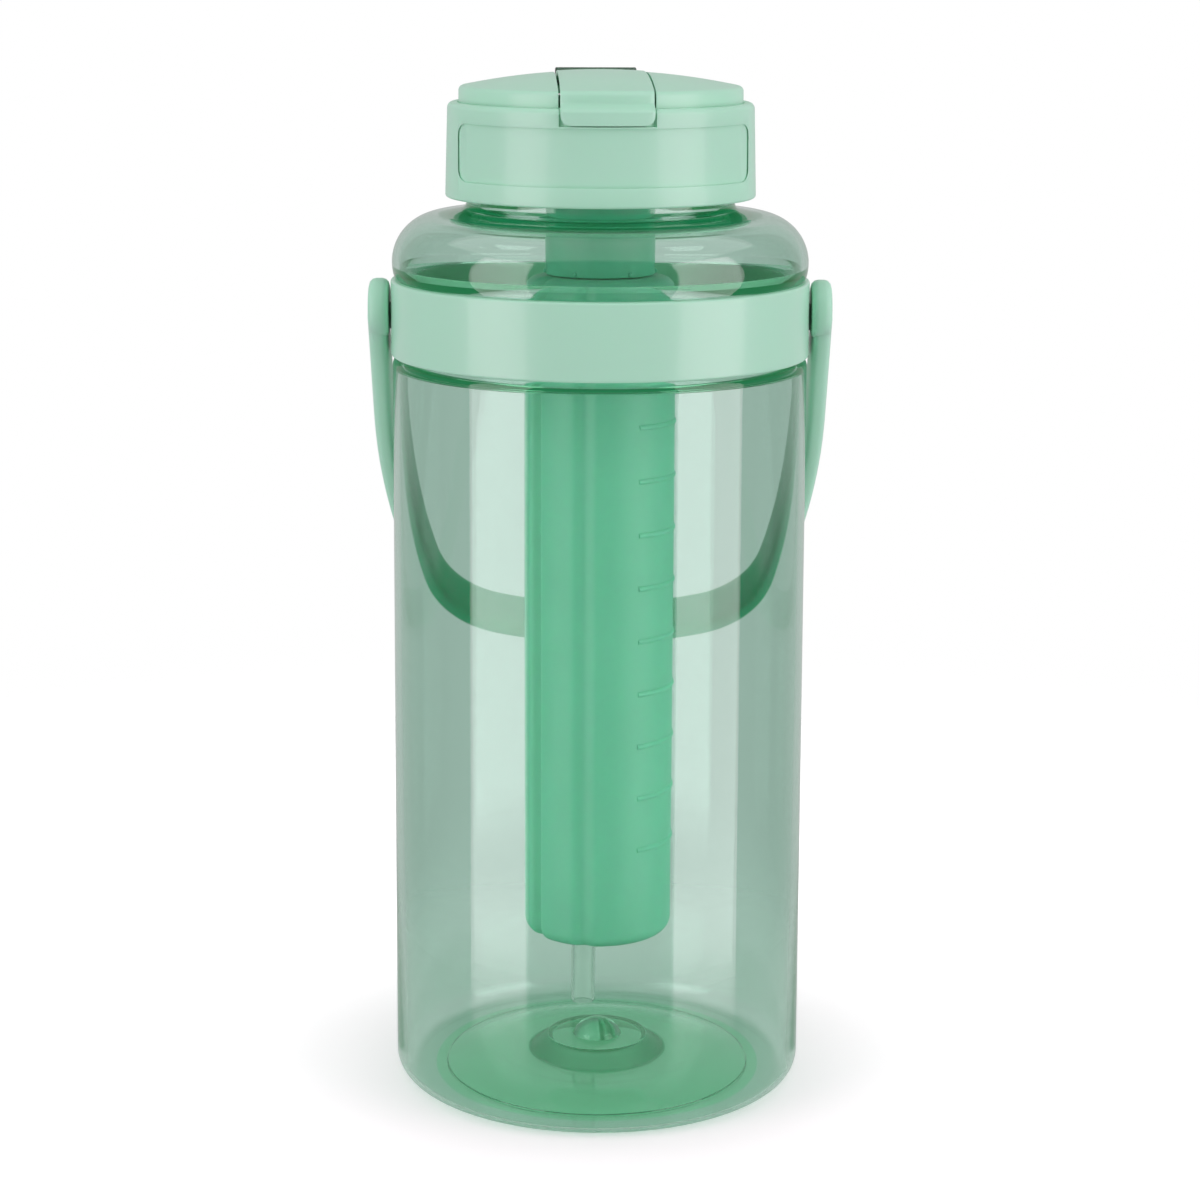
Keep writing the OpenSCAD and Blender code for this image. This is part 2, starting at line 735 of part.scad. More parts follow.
// Plan of the core, drawn in from the outside by an inset
module core_plan(inset) {
    difference() {
        circle(r = core_r - inset);
        crease(crease_front, inset);
        crease(crease_side, inset);
        translate([flute_x, straw_y + flute_out]) circle(r = flute_r + inset);
    }
}

module core_solid(inset, h) {
    r = core_r - inset;
    low = core_low_round - inset;
    high = core_top_round - inset;
    translate([0, 0, core_z + inset]) intersection() {
        linear_extrude(h) core_plan(inset);
        revolve(concat([[0, 0]], arc(r - low, low, low, -90, 0), arc(r - high, h - high, high, 0, 90), [[0, h]]));
    }
}

module core_vessel() {
    color("#5fb08a", 0.85) turned() difference() {
        union() {
            core_solid(0, core_h);
            translate([0, 0, core_top - core_wall]) cylinder(r = core_neck_r, h = core_neck_h + core_wall);
            // Level marks moulded on the side
            for (i = [0:mark_count - 1])
                translate([0, 0, core_z + mark_low + i * mark_pitch]) rotate([0, 0, mark_from_deg - 90])
                    rotate_extrude(angle = mark_span_deg) translate([core_r, 0]) circle(r = mark_r, $fn = 24);
        }
        core_solid(core_wall, core_h - 2 * core_wall);
        translate([0, 0, core_top - 2 * core_wall]) cylinder(r = core_neck_r - core_wall, h = core_neck_h + 3 * core_wall);
        translate([0, 0, core_top + core_neck_h - ring_drop]) rotate_extrude()
            translate([o_ring_c, 0]) circle(r = ring_r + ring_groove_fit, $fn = 48);
    }
}

module core_plug() {
    color("#8fc9ab") turned() translate([0, 0, core_top + core_neck_h - plug_t])
        cylinder(r = core_neck_r - core_wall - seat_fit, h = plug_t);
}

// Frozen filling, short of the top so that it can swell
module core_gel() {
    inset = core_wall + gel_gap;
    color("#9fd0b8", 0.6) turned() core_solid(inset, gel_share * (core_h - 2 * inset));
}

module core_o_ring() {
    color("#e9eeea") turned() translate([0, 0, core_top + core_neck_h - ring_drop]) rotate_extrude()
        translate([o_ring_c, 0]) circle(r = ring_r, $fn = 48);
}

jug_body();
band_front();
band_rear();
pivot_studs();
bail_handle();
lid_skirt();
lid_deck();
spout();
vent_valve();
lid_gasket();
hinge_pin();
hinge_barrel();
flip_strap();
spout_plug();
straw_adapter();
straw();
core_holder();
core_vessel();
core_plug();
core_gel();
core_o_ring();
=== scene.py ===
import bpy
import math
from mathutils import Matrix, Vector


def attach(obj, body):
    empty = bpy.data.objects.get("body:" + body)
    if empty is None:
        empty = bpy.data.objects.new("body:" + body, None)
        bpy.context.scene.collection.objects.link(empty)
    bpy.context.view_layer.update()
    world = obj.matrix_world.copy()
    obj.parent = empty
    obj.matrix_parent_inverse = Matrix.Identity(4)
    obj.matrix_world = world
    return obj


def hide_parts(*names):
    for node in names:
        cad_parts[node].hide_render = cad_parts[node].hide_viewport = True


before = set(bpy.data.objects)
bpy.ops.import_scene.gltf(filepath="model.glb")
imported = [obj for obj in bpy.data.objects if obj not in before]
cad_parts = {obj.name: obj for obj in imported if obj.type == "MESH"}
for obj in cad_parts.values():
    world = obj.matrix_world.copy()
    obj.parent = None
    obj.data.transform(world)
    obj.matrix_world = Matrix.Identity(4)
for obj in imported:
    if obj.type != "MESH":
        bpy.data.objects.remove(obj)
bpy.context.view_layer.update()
print("frame loaded")

mm = 0.001
weldTiny, weldFine = 0.002 * mm, 0.01 * mm
smoothDeg = 32  # faces that meet at less than this are shaded as one

# Shared modelling steps


def clearSelection():
    bpy.ops.object.select_all(action="DESELECT")


def arcPoints(cx, cz, radius, start, end, steps=12):
    angles = [math.radians(start + (end - start) * i / steps) for i in range(steps + 1)]
    return [(cx + radius * math.cos(a), cz + radius * math.sin(a)) for a in angles]


def drawOutline(name, points, azimuth=0, closed=False):
    # one vertex is walked along the outline by extruding it
    clearSelection()
    bpy.ops.mesh.primitive_plane_add(size=2 * mm)
    piece = bpy.context.object
    piece.name = piece.data.name = name
    c, s = math.cos(math.radians(azimuth)), math.sin(math.radians(azimuth))
    bpy.ops.object.mode_set(mode="EDIT")
    bpy.ops.mesh.select_all(action="SELECT")
    bpy.ops.mesh.merge(type="CENTER")
    r, z = points[0]
    bpy.ops.transform.translate(value=(r * c * mm, r * s * mm, z * mm))
    path = points[1:] + ([points[0]] if closed else [])
    for nextR, nextZ in path:
        step = ((nextR - r) * c * mm, (nextR - r) * s * mm, (nextZ - z) * mm)
        bpy.ops.mesh.extrude_vertices_move(TRANSFORM_OT_translate={"value": step})
        r, z = nextR, nextZ
    bpy.ops.mesh.select_all(action="SELECT")
    return piece


def spinOutline(steps, angle=360.0, smoothTo=smoothDeg):
    bpy.ops.mesh.spin(steps=steps, angle=-math.radians(angle), center=(0, 0, 0), axis=(0, 0, 1))
    closeMesh(smoothTo)


def closeMesh(smoothTo=smoothDeg):
    # welds the seam and the poles, caps open ends and turns the faces outwards
    bpy.ops.mesh.select_all(action="SELECT")
    bpy.ops.mesh.remove_doubles(threshold=weldTiny)
    bpy.ops.mesh.select_all(action="SELECT")
    bpy.ops.mesh.fill_holes(sides=0)
    bpy.ops.mesh.select_all(action="SELECT")
    bpy.ops.mesh.normals_make_consistent(inside=False)
    bpy.ops.object.mode_set(mode="OBJECT")
    bpy.ops.object.shade_smooth_by_angle(angle=math.radians(smoothTo))


def turned(name, points, steps, smoothTo=smoothDeg, closed=False):
    piece = drawOutline(name, points, closed=closed)
    spinOutline(steps, smoothTo=smoothTo)
    return piece


def makeActive(piece):
    clearSelection()
    piece.select_set(True)
    bpy.context.view_layer.objects.active = piece


def settle(piece):
    # the place goes into the mesh, and the object back to the origin
    makeActive(piece)
    bpy.ops.object.transform_apply(location=True, rotation=True, scale=True)
    return piece


def joinPieces(name, first, *others):
    clearSelection()
    for piece in others:
        piece.select_set(True)
    first.select_set(True)
    bpy.context.view_layer.objects.active = first
    bpy.ops.object.join()
    first.name = first.data.name = name
    return first


def softenEdges(piece, width, segments=3, angle=40):
    makeActive(piece)
    bevel = piece.modifiers.new("softEdges", "BEVEL")
    bevel.width = width * mm
    bevel.segments = segments
    bevel.limit_method = "ANGLE"
    bevel.angle_limit = math.radians(angle)
    bevel.harden_normals = False
    bpy.ops.object.modifier_apply(modifier=bevel.name)
    bpy.ops.object.shade_smooth_by_angle(angle=math.radians(angle))
    return piece


def cutAway(piece, cutter, operation="DIFFERENCE"):
    makeActive(piece)
    cut = piece.modifiers.new("cut", "BOOLEAN")
    cut.operation = operation
    cut.solver = "EXACT"
    cut.object = cutter
    bpy.ops.object.modifier_apply(modifier=cut.name)
    bpy.data.objects.remove(cutter)
    return piece


def shapeMesh(piece, place):
    # moves every vertex by a rule
    for vertex in piece.data.vertices:
        vertex.co = Vector(place(vertex.co))
    piece.data.update()


def addRod(name, radius, start, end, edge=0.0, vertices=64):
    # a round bar between two points, in millimetres
    a, b = Vector(start), Vector(end)
    clearSelection()
    bpy.ops.mesh.primitive_cylinder_add(vertices=vertices, radius=radius * mm, depth=(b - a).length * mm)
    rod = bpy.context.object
    rod.name = rod.data.name = name
    along = (b - a).to_track_quat("Z", "Y").to_matrix().to_4x4()
    rod.data.transform(Matrix.Translation((a + b) / 2 * mm) @ along)
    if edge:
        softenEdges(rod, edge)
    else:
        bpy.ops.object.shade_smooth_by_angle(angle=math.radians(smoothDeg))
    return rod


lidTurnDeg = 2.6  # how far the lid is screwed past straight ahead
lidTurn = Matrix.Rotation(math.radians(lidTurnDeg), 4, "Z")


def turnWithLid(piece):
    piece.data.transform(lidTurn)
    piece.data.update()
    return piece


# Finishes


def feed(tree, socket, value):
    # a link from another node, or a plain value
    if isinstance(value, bpy.types.NodeSocket):
        tree.links.new(value, socket)
    else:
        socket.default_value = value


def addMath(tree, kind, *values):
    node = tree.nodes.new("ShaderNodeMath")
    node.operation = kind
    for socket, value in zip(node.inputs, values):
        feed(tree, socket, value)
    return node.outputs[0]


def addColourMix(tree, share, first, second, blend="MIX"):
    mix = tree.nodes.new("ShaderNodeMix")
    mix.data_type = "RGBA"
    mix.blend_type = blend
    for place, value in ((0, share), (6, first), (7, second)):
        feed(tree, mix.inputs[place], value)
    return mix.outputs[2]


def addShaderMix(tree, share, first, second):
    mix = tree.nodes.new("ShaderNodeMixShader")
    for socket, source in zip(mix.inputs, (share, first, second)):
        tree.links.new(source, socket)
    return mix.outputs["Shader"]


def addRange(tree, value, source, target, smooth=False):
    # maps the source range onto the target range
    node = tree.nodes.new("ShaderNodeMapRange")
    if smooth:
        node.interpolation_type = "SMOOTHSTEP"
    for socket, number in zip(("From Min", "From Max", "To Min", "To Max"), (*source, *target)):
        node.inputs[socket].default_value = number
    tree.links.new(value, node.inputs["Value"])
    return node.outputs["Result"]


def addLength(tree, vector):
    node = tree.nodes.new("ShaderNodeVectorMath")
    node.operation = "LENGTH"
    tree.links.new(vector, node.inputs[0])
    return node.outputs["Value"]


def startGroup(name, numbers, outputs):
    # a node group that takes numbers and puts out masks or values
    group = bpy.data.node_groups.new(name, "ShaderNodeTree")
    face = group.interface
    for label, value in numbers.items():
        face.new_socket(name=label, in_out="INPUT", socket_type="NodeSocketFloat").default_value = value
    for label in outputs:
        face.new_socket(name=label, in_out="OUTPUT", socket_type="NodeSocketFloat")
    return group


surface = {
    "numbers": {"Drift": 0.05, "Drift Scale": 18.0, "Grain Scale": 900.0, "Roughness": 0.3,
                "Gloss Spread": 0.08, "Flow": 0.2},
    "driftDetail": 3.0, "grainDetail": 2.0, "ringScale": 60.0, "ringDistortion": 2.0, "bump": 0.25,
    "coatRoughness": 0.08, "scatterTint": (0.5, 1.0, 0.7),
}


def buildSurfaceGroup():
    # moulded plastic: slow drift of the colour, fine grain, and a gloss that isn't even
    group = startGroup("mouldedSurface", surface["numbers"], ("Roughness", "Height"))
    for way in ("INPUT", "OUTPUT"):
        group.interface.new_socket(name="Colour", in_out=way, socket_type="NodeSocketColor")
    nodes, links = group.nodes, group.links
    into = nodes.new("NodeGroupInput")
    out = nodes.new("NodeGroupOutput")
    where = nodes.new("ShaderNodeTexCoord")

    def addNoise(scale, detail):
        noise = nodes.new("ShaderNodeTexNoise")
        noise.inputs["Detail"].default_value = surface[detail]
        links.new(where.outputs["Object"], noise.inputs["Vector"])
        links.new(into.outputs[scale], noise.inputs["Scale"])
        return noise.outputs["Fac"]

    slow, fine = addNoise("Drift Scale", "driftDetail"), addNoise("Grain Scale", "grainDetail")
    rings = nodes.new("ShaderNodeTexWave")  # flow lines run round the mould as faint rings
    rings.bands_direction = "Z"
    rings.inputs["Scale"].default_value = surface["ringScale"]
    rings.inputs["Distortion"].default_value = surface["ringDistortion"]
    links.new(where.outputs["Object"], rings.inputs["Vector"])
    drift = addMath(group, "MULTIPLY", addMath(group, "SUBTRACT", slow, 0.5), into.outputs["Drift"])
    gain = addMath(group, "ADD", drift, 1.0)
    shade = nodes.new("ShaderNodeCombineColor")
    for i in range(3):
        links.new(gain, shade.inputs[i])
    tinted = addColourMix(group, 1.0, into.outputs["Colour"], shade.outputs[0], "MULTIPLY")
    links.new(tinted, out.inputs["Colour"])
    gloss = addMath(group, "MULTIPLY", addMath(group, "SUBTRACT", fine, 0.5), into.outputs["Gloss Spread"])
    links.new(addMath(group, "ADD", gloss, into.outputs["Roughness"]), out.inputs["Roughness"])
    flow = addMath(group, "MULTIPLY", rings.outputs["Fac"], into.outputs["Flow"])
    links.new(addMath(group, "ADD", fine, flow), out.inputs["Height"])
    return group


surfaceGroup = buildSurfaceGroup()


def makePlastic(name, colour, roughness, drift=0.05, driftScale=18, grainScale=900, grain=0.02, spread=0.08,
                flow=0.2, coat=0.0, subsurface=0.0, ior=1.5, scatter=2):
    material = bpy.data.materials.new(name)
    material.use_nodes = True
    nodes, links = material.node_tree.nodes, material.node_tree.links
    shader = nodes["Principled BSDF"]
    pattern = nodes.new("ShaderNodeGroup")
    pattern.node_tree = surfaceGroup
    for socket, value in (("Drift", drift), ("Drift Scale", driftScale), ("Grain Scale", grainScale),
                          ("Roughness", roughness), ("Gloss Spread", spread), ("Flow", flow)):
        pattern.inputs[socket].default_value = value
    if drift:
        pattern.inputs["Colour"].default_value = (*colour, 1)
        links.new(pattern.outputs["Colour"], shader.inputs["Base Color"])
    else:
        shader.inputs["Base Color"].default_value = (*colour, 1)
    links.new(pattern.outputs["Roughness"], shader.inputs["Roughness"])
    bump = nodes.new("ShaderNodeBump")
    bump.inputs["Strength"].default_value = surface["bump"]
    bump.inputs["Distance"].default_value = grain * mm
    links.new(pattern.outputs["Height"], bump.inputs["Height"])
    links.new(bump.outputs["Normal"], shader.inputs["Normal"])
    shader.inputs["IOR"].default_value = ior
    shader.inputs["Coat Weight"].default_value = coat
    shader.inputs["Coat Roughness"].default_value = surface["coatRoughness"]
    if subsurface:
        shader.inputs["Subsurface Weight"].default_value = subsurface
        shader.inputs["Subsurface Radius"].default_value = surface["scatterTint"]
        shader.inputs["Subsurface Scale"].default_value = scatter * mm
    return material


# deep and glow are the colour and strength of the painted glow that ends long paths inside clear plastic
clear = {
    "ior": 1.52, "grain": 0.01, "grainScale": 60, "spread": 0.02, "flow": 0.3,
    "mostRays": 8.5, "mostGlossy": 3.5, "deep": (0.06, 0.42, 0.24), "glow": 0.6,
}


def makeClear(name, colour, roughness, absorb, density, shadow):
    # clear moulded plastic, tinted by how far light runs inside it
    c = clear
    material = makePlastic(name, colour, roughness, drift=0, grainScale=c["grainScale"], grain=c["grain"],
                           spread=c["spread"], flow=c["flow"], ior=c["ior"])
    tree = material.node_tree
    shader, out = tree.nodes["Principled BSDF"], tree.nodes["Material Output"]
    shader.inputs["Transmission Weight"].default_value = 1.0
    inside = tree.nodes.new("ShaderNodeVolumeAbsorption")
    inside.inputs["Color"].default_value = (*absorb, 1)
    inside.inputs["Density"].default_value = density
    tree.links.new(inside.outputs["Volume"], out.inputs["Volume"])
    # painted light: a path that has been caught inside for long ends in a deep green glow, which stands in
    # for the light it would still carry out of the plastic
    path = tree.nodes.new("ShaderNodeLightPath")
    manyRays = addMath(tree, "GREATER_THAN", path.outputs["Ray Depth"], c["mostRays"])
    manyGlossy = addMath(tree, "GREATER_THAN", path.outputs["Glossy Depth"], c["mostGlossy"])
    caught = addMath(tree, "MAXIMUM", manyRays, manyGlossy)
    paintedGlow = tree.nodes.new("ShaderNodeEmission")
    paintedGlow.inputs["Color"].default_value = (*c["deep"], 1)
    paintedGlow.inputs["Strength"].default_value = c["glow"]
    plastic = addShaderMix(tree, caught, shader.outputs["BSDF"], paintedGlow.outputs["Emission"])
    # lets the studio light through to what stands inside
    through = tree.nodes.new("ShaderNodeBsdfTransparent")
    through.inputs["Color"].default_value = (*shadow, 1)
    mix = addShaderMix(tree, path.outputs["Is Shadow Ray"], plastic, through.outputs["BSDF"])
    tree.links.new(mix, out.inputs["Surface"])
    return material


foot = {
    "zones": {"Floor Top": 0.0125, "Floor Radius": 0.0455, "Ring Inner": 0.0139, "Ring Outer": 0.0192,
              "Dot Scale": 900.0},
    "floorColour": (0.55, 0.98, 0.76), "ringColour": (0.2, 0.7, 0.45), "roughness": (0.02, 0.35),
    "dotReach": 0.28, "dotRoughness": 0.4,
}


def buildZoneGroup():
    # masks over the foot: the thick floor, and the frosted ring round its raised middle
    group = startGroup("footZones", foot["zones"], ("Floor", "Ring", "Dots"))
    nodes, links = group.nodes, group.links
    into = nodes.new("NodeGroupInput")
    out = nodes.new("NodeGroupOutput")
    where = nodes.new("ShaderNodeTexCoord")
    split = nodes.new("ShaderNodeSeparateXYZ")
    links.new(where.outputs["Object"], split.inputs[0])
    flat = nodes.new("ShaderNodeCombineXYZ")
    for axis in "XY":
        links.new(split.outputs[axis], flat.inputs[axis])
    away = addLength(group, flat.outputs[0])
    low = addMath(group, "LESS_THAN", split.outputs["Z"], into.outputs["Floor Top"])
    near = addMath(group, "LESS_THAN", away, into.outputs["Floor Radius"])
    links.new(addMath(group, "MULTIPLY", low, near), out.inputs["Floor"])
    pastInner = addMath(group, "GREATER_THAN", away, into.outputs["Ring Inner"])
    beforeOuter = addMath(group, "LESS_THAN", away, into.outputs["Ring Outer"])
    ring = addMath(group, "MULTIPLY", addMath(group, "MULTIPLY", pastInner, beforeOuter), low)
    links.new(ring, out.inputs["Ring"])
    dots = nodes.new("ShaderNodeTexVoronoi")
    links.new(where.outputs["Object"], dots.inputs["Vector"])
    links.new(into.outputs["Dot Scale"], dots.inputs["Scale"])
    dot = addMath(group, "LESS_THAN", dots.outputs["Distance"], foot["dotReach"])
    links.new(addMath(group, "MULTIPLY", dot, ring), out.inputs["Dots"])
    return group


def tintFoot(material):
    tree = material.node_tree
    shader = tree.nodes["Principled BSDF"]
    zones = tree.nodes.new("ShaderNodeGroup")
    zones.node_tree = buildZoneGroup()
    tone = tuple(shader.inputs["Base Color"].default_value)
    for mask, colour in (("Floor", foot["floorColour"]), ("Ring", foot["ringColour"])):
        tone = addColourMix(tree, zones.outputs[mask], tone, (*colour, 1))
    tree.links.new(tone, shader.inputs["Base Color"])
    rough = addRange(tree, zones.outputs["Ring"], (0, 1), foot["roughness"])
    dotted = addMath(tree, "MULTIPLY_ADD", zones.outputs["Dots"], foot["dotRoughness"], rough)
    tree.links.new(dotted, shader.inputs["Roughness"])


def paintShadeBehind(material, shadeTint):
    # painted shade: the colour is darkened where it is seen through the jug's two walls, standing in for the
    # studio light that they keep off what stands behind them
    tree = material.node_tree
    shader = tree.nodes["Principled BSDF"]
    path = tree.nodes.new("ShaderNodeLightPath")
    behind = addMath(tree, "GREATER_THAN", path.outputs["Transmission Depth"], 1.5)
    plain = shader.inputs["Base Color"].links[0].from_socket
    tree.links.new(addColourMix(tree, behind, plain, (*shadeTint, 1), "MULTIPLY"), shader.inputs["Base Color"])


mint = (0.445, 0.815, 0.615)
mintPlastic = makePlastic("mintPlastic", mint, 0.3, coat=0.3, subsurface=0.15)
lidPlastic = makePlastic("lidPlastic", mint, 0.34, coat=0.2, subsurface=0.15)
handlePlastic = makePlastic("handlePlastic", mint, 0.3, subsurface=0.15)
handlePlastic.node_tree.nodes["Principled BSDF"].inputs["Specular IOR Level"].default_value = 0.22
# painted shade on the handle where it stands behind the jug
paintShadeBehind(handlePlastic, (0.03, 0.5, 0.31))
collarPlastic = makePlastic("collarPlastic", (0.13, 0.6, 0.37), 0.35, subsurface=0.2)
frostedPlastic = makePlastic("frostedPlastic", (0.19, 0.62, 0.41), 0.42, drift=0.12, driftScale=30,
                             grainScale=1600, grain=0.03, spread=0.15, subsurface=0.6, scatter=4)
clearPlastic = makeClear("clearPlastic", (0.87, 0.97, 0.93), 0.02, absorb=(0.17, 0.8, 0.5), density=60,
                         shadow=(0.88, 0.91, 0.895))
tintFoot(clearPlastic)
darkClear = makeClear("darkClear", (0.9, 1.0, 0.95), 0.08, absorb=(0.08, 0.45, 0.25), density=420,
                      shadow=(0.3, 0.6, 0.45))
strawPlastic = makeClear("strawPlastic", (0.96, 0.99, 0.97), 0.15, absorb=(0.6, 0.9, 0.75), density=40,
                         shadow=(0.9, 0.95, 0.92))
# painted shade: the pivot studs are coloured near black for the shade in the gap between the handle's arms
# and the band
shadedStudPlastic = makePlastic("shadedStudPlastic", (0.05, 0.15, 0.10), 0.3)
sealRubber = makePlastic("sealRubber", (0.78, 0.82, 0.80), 0.55, drift=0.08, grainScale=1400, grain=0.03)
gelFilling = makePlastic("gelFilling", (0.45, 0.72, 0.58), 0.6, drift=0.2, driftScale=60, grain=0.05,
                         subsurface=0.4)
pinSteel = makePlastic("pinSteel", (0.55, 0.56, 0.57), 0.28, drift=0.05, grainScale=2400, grain=0.01)
pinSteel.node_tree.nodes["Principled BSDF"].inputs["Metallic"].default_value = 1.0
print("finishes mixed")


def dress(piece, material, body, slot, *nodes):
    piece.data.materials.clear()
    piece.data.materials.append(material)
    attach(piece, body)
    if nodes:
        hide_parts(*nodes)
    return piece


# Clear body

body = {
    "footR": 56.0, "topR": 55.5, "wall": 2.2, "height": 201.0, "baseRound": 6.0, "ringWidth": 8.0,
    "recess": 2.8, "step": 0.6, "lipRound": 0.4, "domeRun": 12.0, "domeCurve": 40.0,
    "underRun": 3.8, "underDeg": 79.2,
    "overRun": 4.0, "overDeg": 77.4, "flank": 0.8, "kickR": 13.0, "kickFlank": 4.0, "kickHeight": 6.7,
    "floor": 4.6, "boss": 8.5, "bossR": 14.0, "bossFlank": 4.5, "nubR": 6.8, "nubHeight": 4.4,
    "grooveDepth": 2.4, "grooveTop": 221.6, "grooveBend": 2.0, "shoulderRound": 13.0, "shoulderDrop": 4.4,
    "shoulderWall": 1.8, "neckR": 35.6, "neckWall": 2.4, "neckHeight": 22.5, "coneRise": 0.9, "coneDeg": 12.0,
    "neckFillet": 2.2, "rimRound": 0.6, "rootRound": 1.6, "rootDrop": 0.6, "innerRound": 4.2,
    "innerStep": 0.4, "channel": 1.4, "turns": 192,
}
grooveR = body["topR"] - body["grooveDepth"]
shoulderC = body["topR"] - body["shoulderRound"]
shoulderZ = body["grooveTop"] + body["shoulderDrop"]
crestZ = shoulderZ + body["shoulderRound"]
rimZ = crestZ + body["neckHeight"]
neckInR = body["neckR"] - body["neckWall"]
shoulderIn = body["shoulderRound"] - body["shoulderWall"]


def bodyOutside(b):
    # from the middle of the foot, round the ring that it stands on, up to the rim
    ringOut = b["footR"] - b["baseRound"]
    ringIn = ringOut - b["ringWidth"]
    low = math.degrees(math.asin(b["shoulderDrop"] / b["shoulderRound"]))
    flank, lip, groove = b["flank"], b["lipRound"], b["grooveDepth"]
    points = [(0, b["kickHeight"])]
    points += arcPoints(b["kickR"] - flank, b["kickHeight"] - flank, flank, 90, 40, 5)
    points += arcPoints(b["kickR"] + b["kickFlank"] + flank, b["recess"] + flank, flank, 220, 270, 5)
    points += arcPoints(ringIn - b["domeRun"] - b["underRun"], b["recess"] - b["domeCurve"], b["domeCurve"],
                        90, b["underDeg"], 10)
    points += [(ringIn - 0.6, b["step"]), (ringIn - 0.2, b["step"] - 0.2)]
    points += arcPoints(ringIn + 0.1, lip, lip, 240.8, 270, 3)
    points += arcPoints(ringOut, b["baseRound"], b["baseRound"], -90, 0, 14)
    rise = b["height"] - groove - b["baseRound"]
    points += [(b["footR"] - (b["footR"] - b["topR"]) * t, b["baseRound"] + rise * t)
               for t in (0.02, 0.25, 0.5, 0.75, 0.98)]
    points += arcPoints(grooveR, b["height"] - groove, groove, 0, 90, 12)
    points += [(grooveR, b["grooveTop"])]
    points += arcPoints(shoulderC, shoulderZ, b["shoulderRound"], -low, 90, 36)
    fillet = b["neckFillet"]
    rootZ = crestZ + b["coneRise"] + fillet
    points += arcPoints(b["neckR"] + fillet, rootZ, fillet, 270 - b["coneDeg"], 180, 10)
    points += arcPoints(b["neckR"] - b["rimRound"], rimZ - b["rimRound"], b["rimRound"], 0, 90, 5)
    return points


def bodyInside(b):
    # from the rim down the wall, through the channel, to the raised middle and its nub
    ringIn = b["footR"] - b["baseRound"] - b["ringWidth"]
    behindGroove = grooveR - b["wall"] + b["grooveBend"]
    rootZ = shoulderZ + shoulderIn + b["rootRound"] - b["rootDrop"]
    ledgeZ = b["height"] - b["wall"]
    bend, flank, channel, inner = b["grooveBend"], b["flank"], b["channel"], b["innerRound"]
    points = arcPoints(neckInR + b["rimRound"], rimZ - b["rimRound"], b["rimRound"], 90, 180, 5)
    points += arcPoints(neckInR + b["rootRound"], rootZ, b["rootRound"], 180, 270, 10)
    points += arcPoints(shoulderC, shoulderZ, shoulderIn, 90, -4, 30)
    points += arcPoints(behindGroove, b["grooveTop"] - 0.68, bend, 142.6, 180, 6)
    points += arcPoints(behindGroove, ledgeZ + 1.6, bend, 180, 262, 8)
    points += arcPoints(b["topR"] - b["wall"] - flank, ledgeZ - b["innerStep"] - flank, flank, 84, 0, 6)
    points += arcPoints(b["footR"] - b["wall"] - inner, channel + inner, inner, 0, -90, 14)
    points += [(ringIn + 0.55, channel), (ringIn + 0.3, channel + 0.15), (ringIn + 0.15, channel + 0.45),
               (ringIn - 0.1, channel + 0.6)]
    points += arcPoints(ringIn - b["domeRun"] - b["overRun"], b["floor"] - b["domeCurve"], b["domeCurve"],
                        b["overDeg"], 90, 10)
    points += arcPoints(b["bossR"] + b["bossFlank"] + flank / 2, b["floor"] + flank, flank, -90, -138, 5)
    points += arcPoints(b["bossR"] - 0.75 * flank, b["boss"] - flank, flank, 42, 90, 5)
    ball = (b["nubR"] ** 2 + b["nubHeight"] ** 2) / (2 * b["nubHeight"])
    nubDeg = math.degrees(math.asin((ball - b["nubHeight"]) / ball))
    points += arcPoints(0, b["boss"] + b["nubHeight"] - ball, ball, nubDeg, 90, 10)
    return points


clearBody = turned("clearBody", bodyOutside(body) + bodyInside(body), steps=body["turns"], smoothTo=28)
dress(clearBody, clearPlastic, "jug", "clear_plastic", "jug_body")

# screw thread on the neck, a rib that climbs one and a half turns
neckRib = {"low": 245.5, "pitch": 7.5, "depth": 1.5, "width": 3.2, "sink": 0.3, "rounds": 1.5, "steps": 96}


def buildThread(name, radius, outward, settings):
    d, w, low = settings["depth"] * outward, settings["width"], settings["low"]
    root = radius - settings["sink"] * outward
    section = [(root, low), (radius + d * 0.85, low + w * 0.32), (radius + d, low + w * 0.5),
               (radius + d * 0.85, low + w * 0.68), (root, low + w)]
    piece = drawOutline(name, section, closed=True)
    bpy.ops.object.mode_set(mode="OBJECT")
    screw = piece.modifiers.new("climb", "SCREW")
    screw.axis = "Z"
    screw.angle = math.radians(360 * settings["rounds"])
    screw.screw_offset = settings["pitch"] * settings["rounds"] * mm
    screw.iterations = 1
    screw.steps = screw.render_steps = int(settings["steps"] * settings["rounds"])
    screw.use_smooth_shade = False
    bpy.ops.object.modifier_apply(modifier=screw.name)
    bpy.ops.object.mode_set(mode="EDIT")
    closeMesh(40)
    return piece


dress(buildThread("neckThread", body["neckR"], 1, neckRib), clearPlastic, "jug", "clear_plastic")
print("clear body turned")

# Band and handle

band = {
    "inR": 53.25, "outR": 55.9, "low": 201.2, "height": 20.2, "edge": 0.7, "earDeg": 9.35, "lapR": 54.575,
    "lapFit": 0.1, "lapEdge": 0.3, "gap": 0.1, "steps": 96, "earSteps": 12,
}


def bandSector(name, inner, outer, start, sweep, edge, steps):
    low, high = band["low"], band["low"] + band["height"]
    points = [(inner, low)] + arcPoints(outer - edge, low + edge, edge, -90, 0, 6)
    points += arcPoints(outer - edge, high - edge, edge, 0, 90, 6) + [(inner, high)]
    piece = drawOutline(name, points, azimuth=start, closed=True)
    spinOutline(steps, sweep)
    return piece


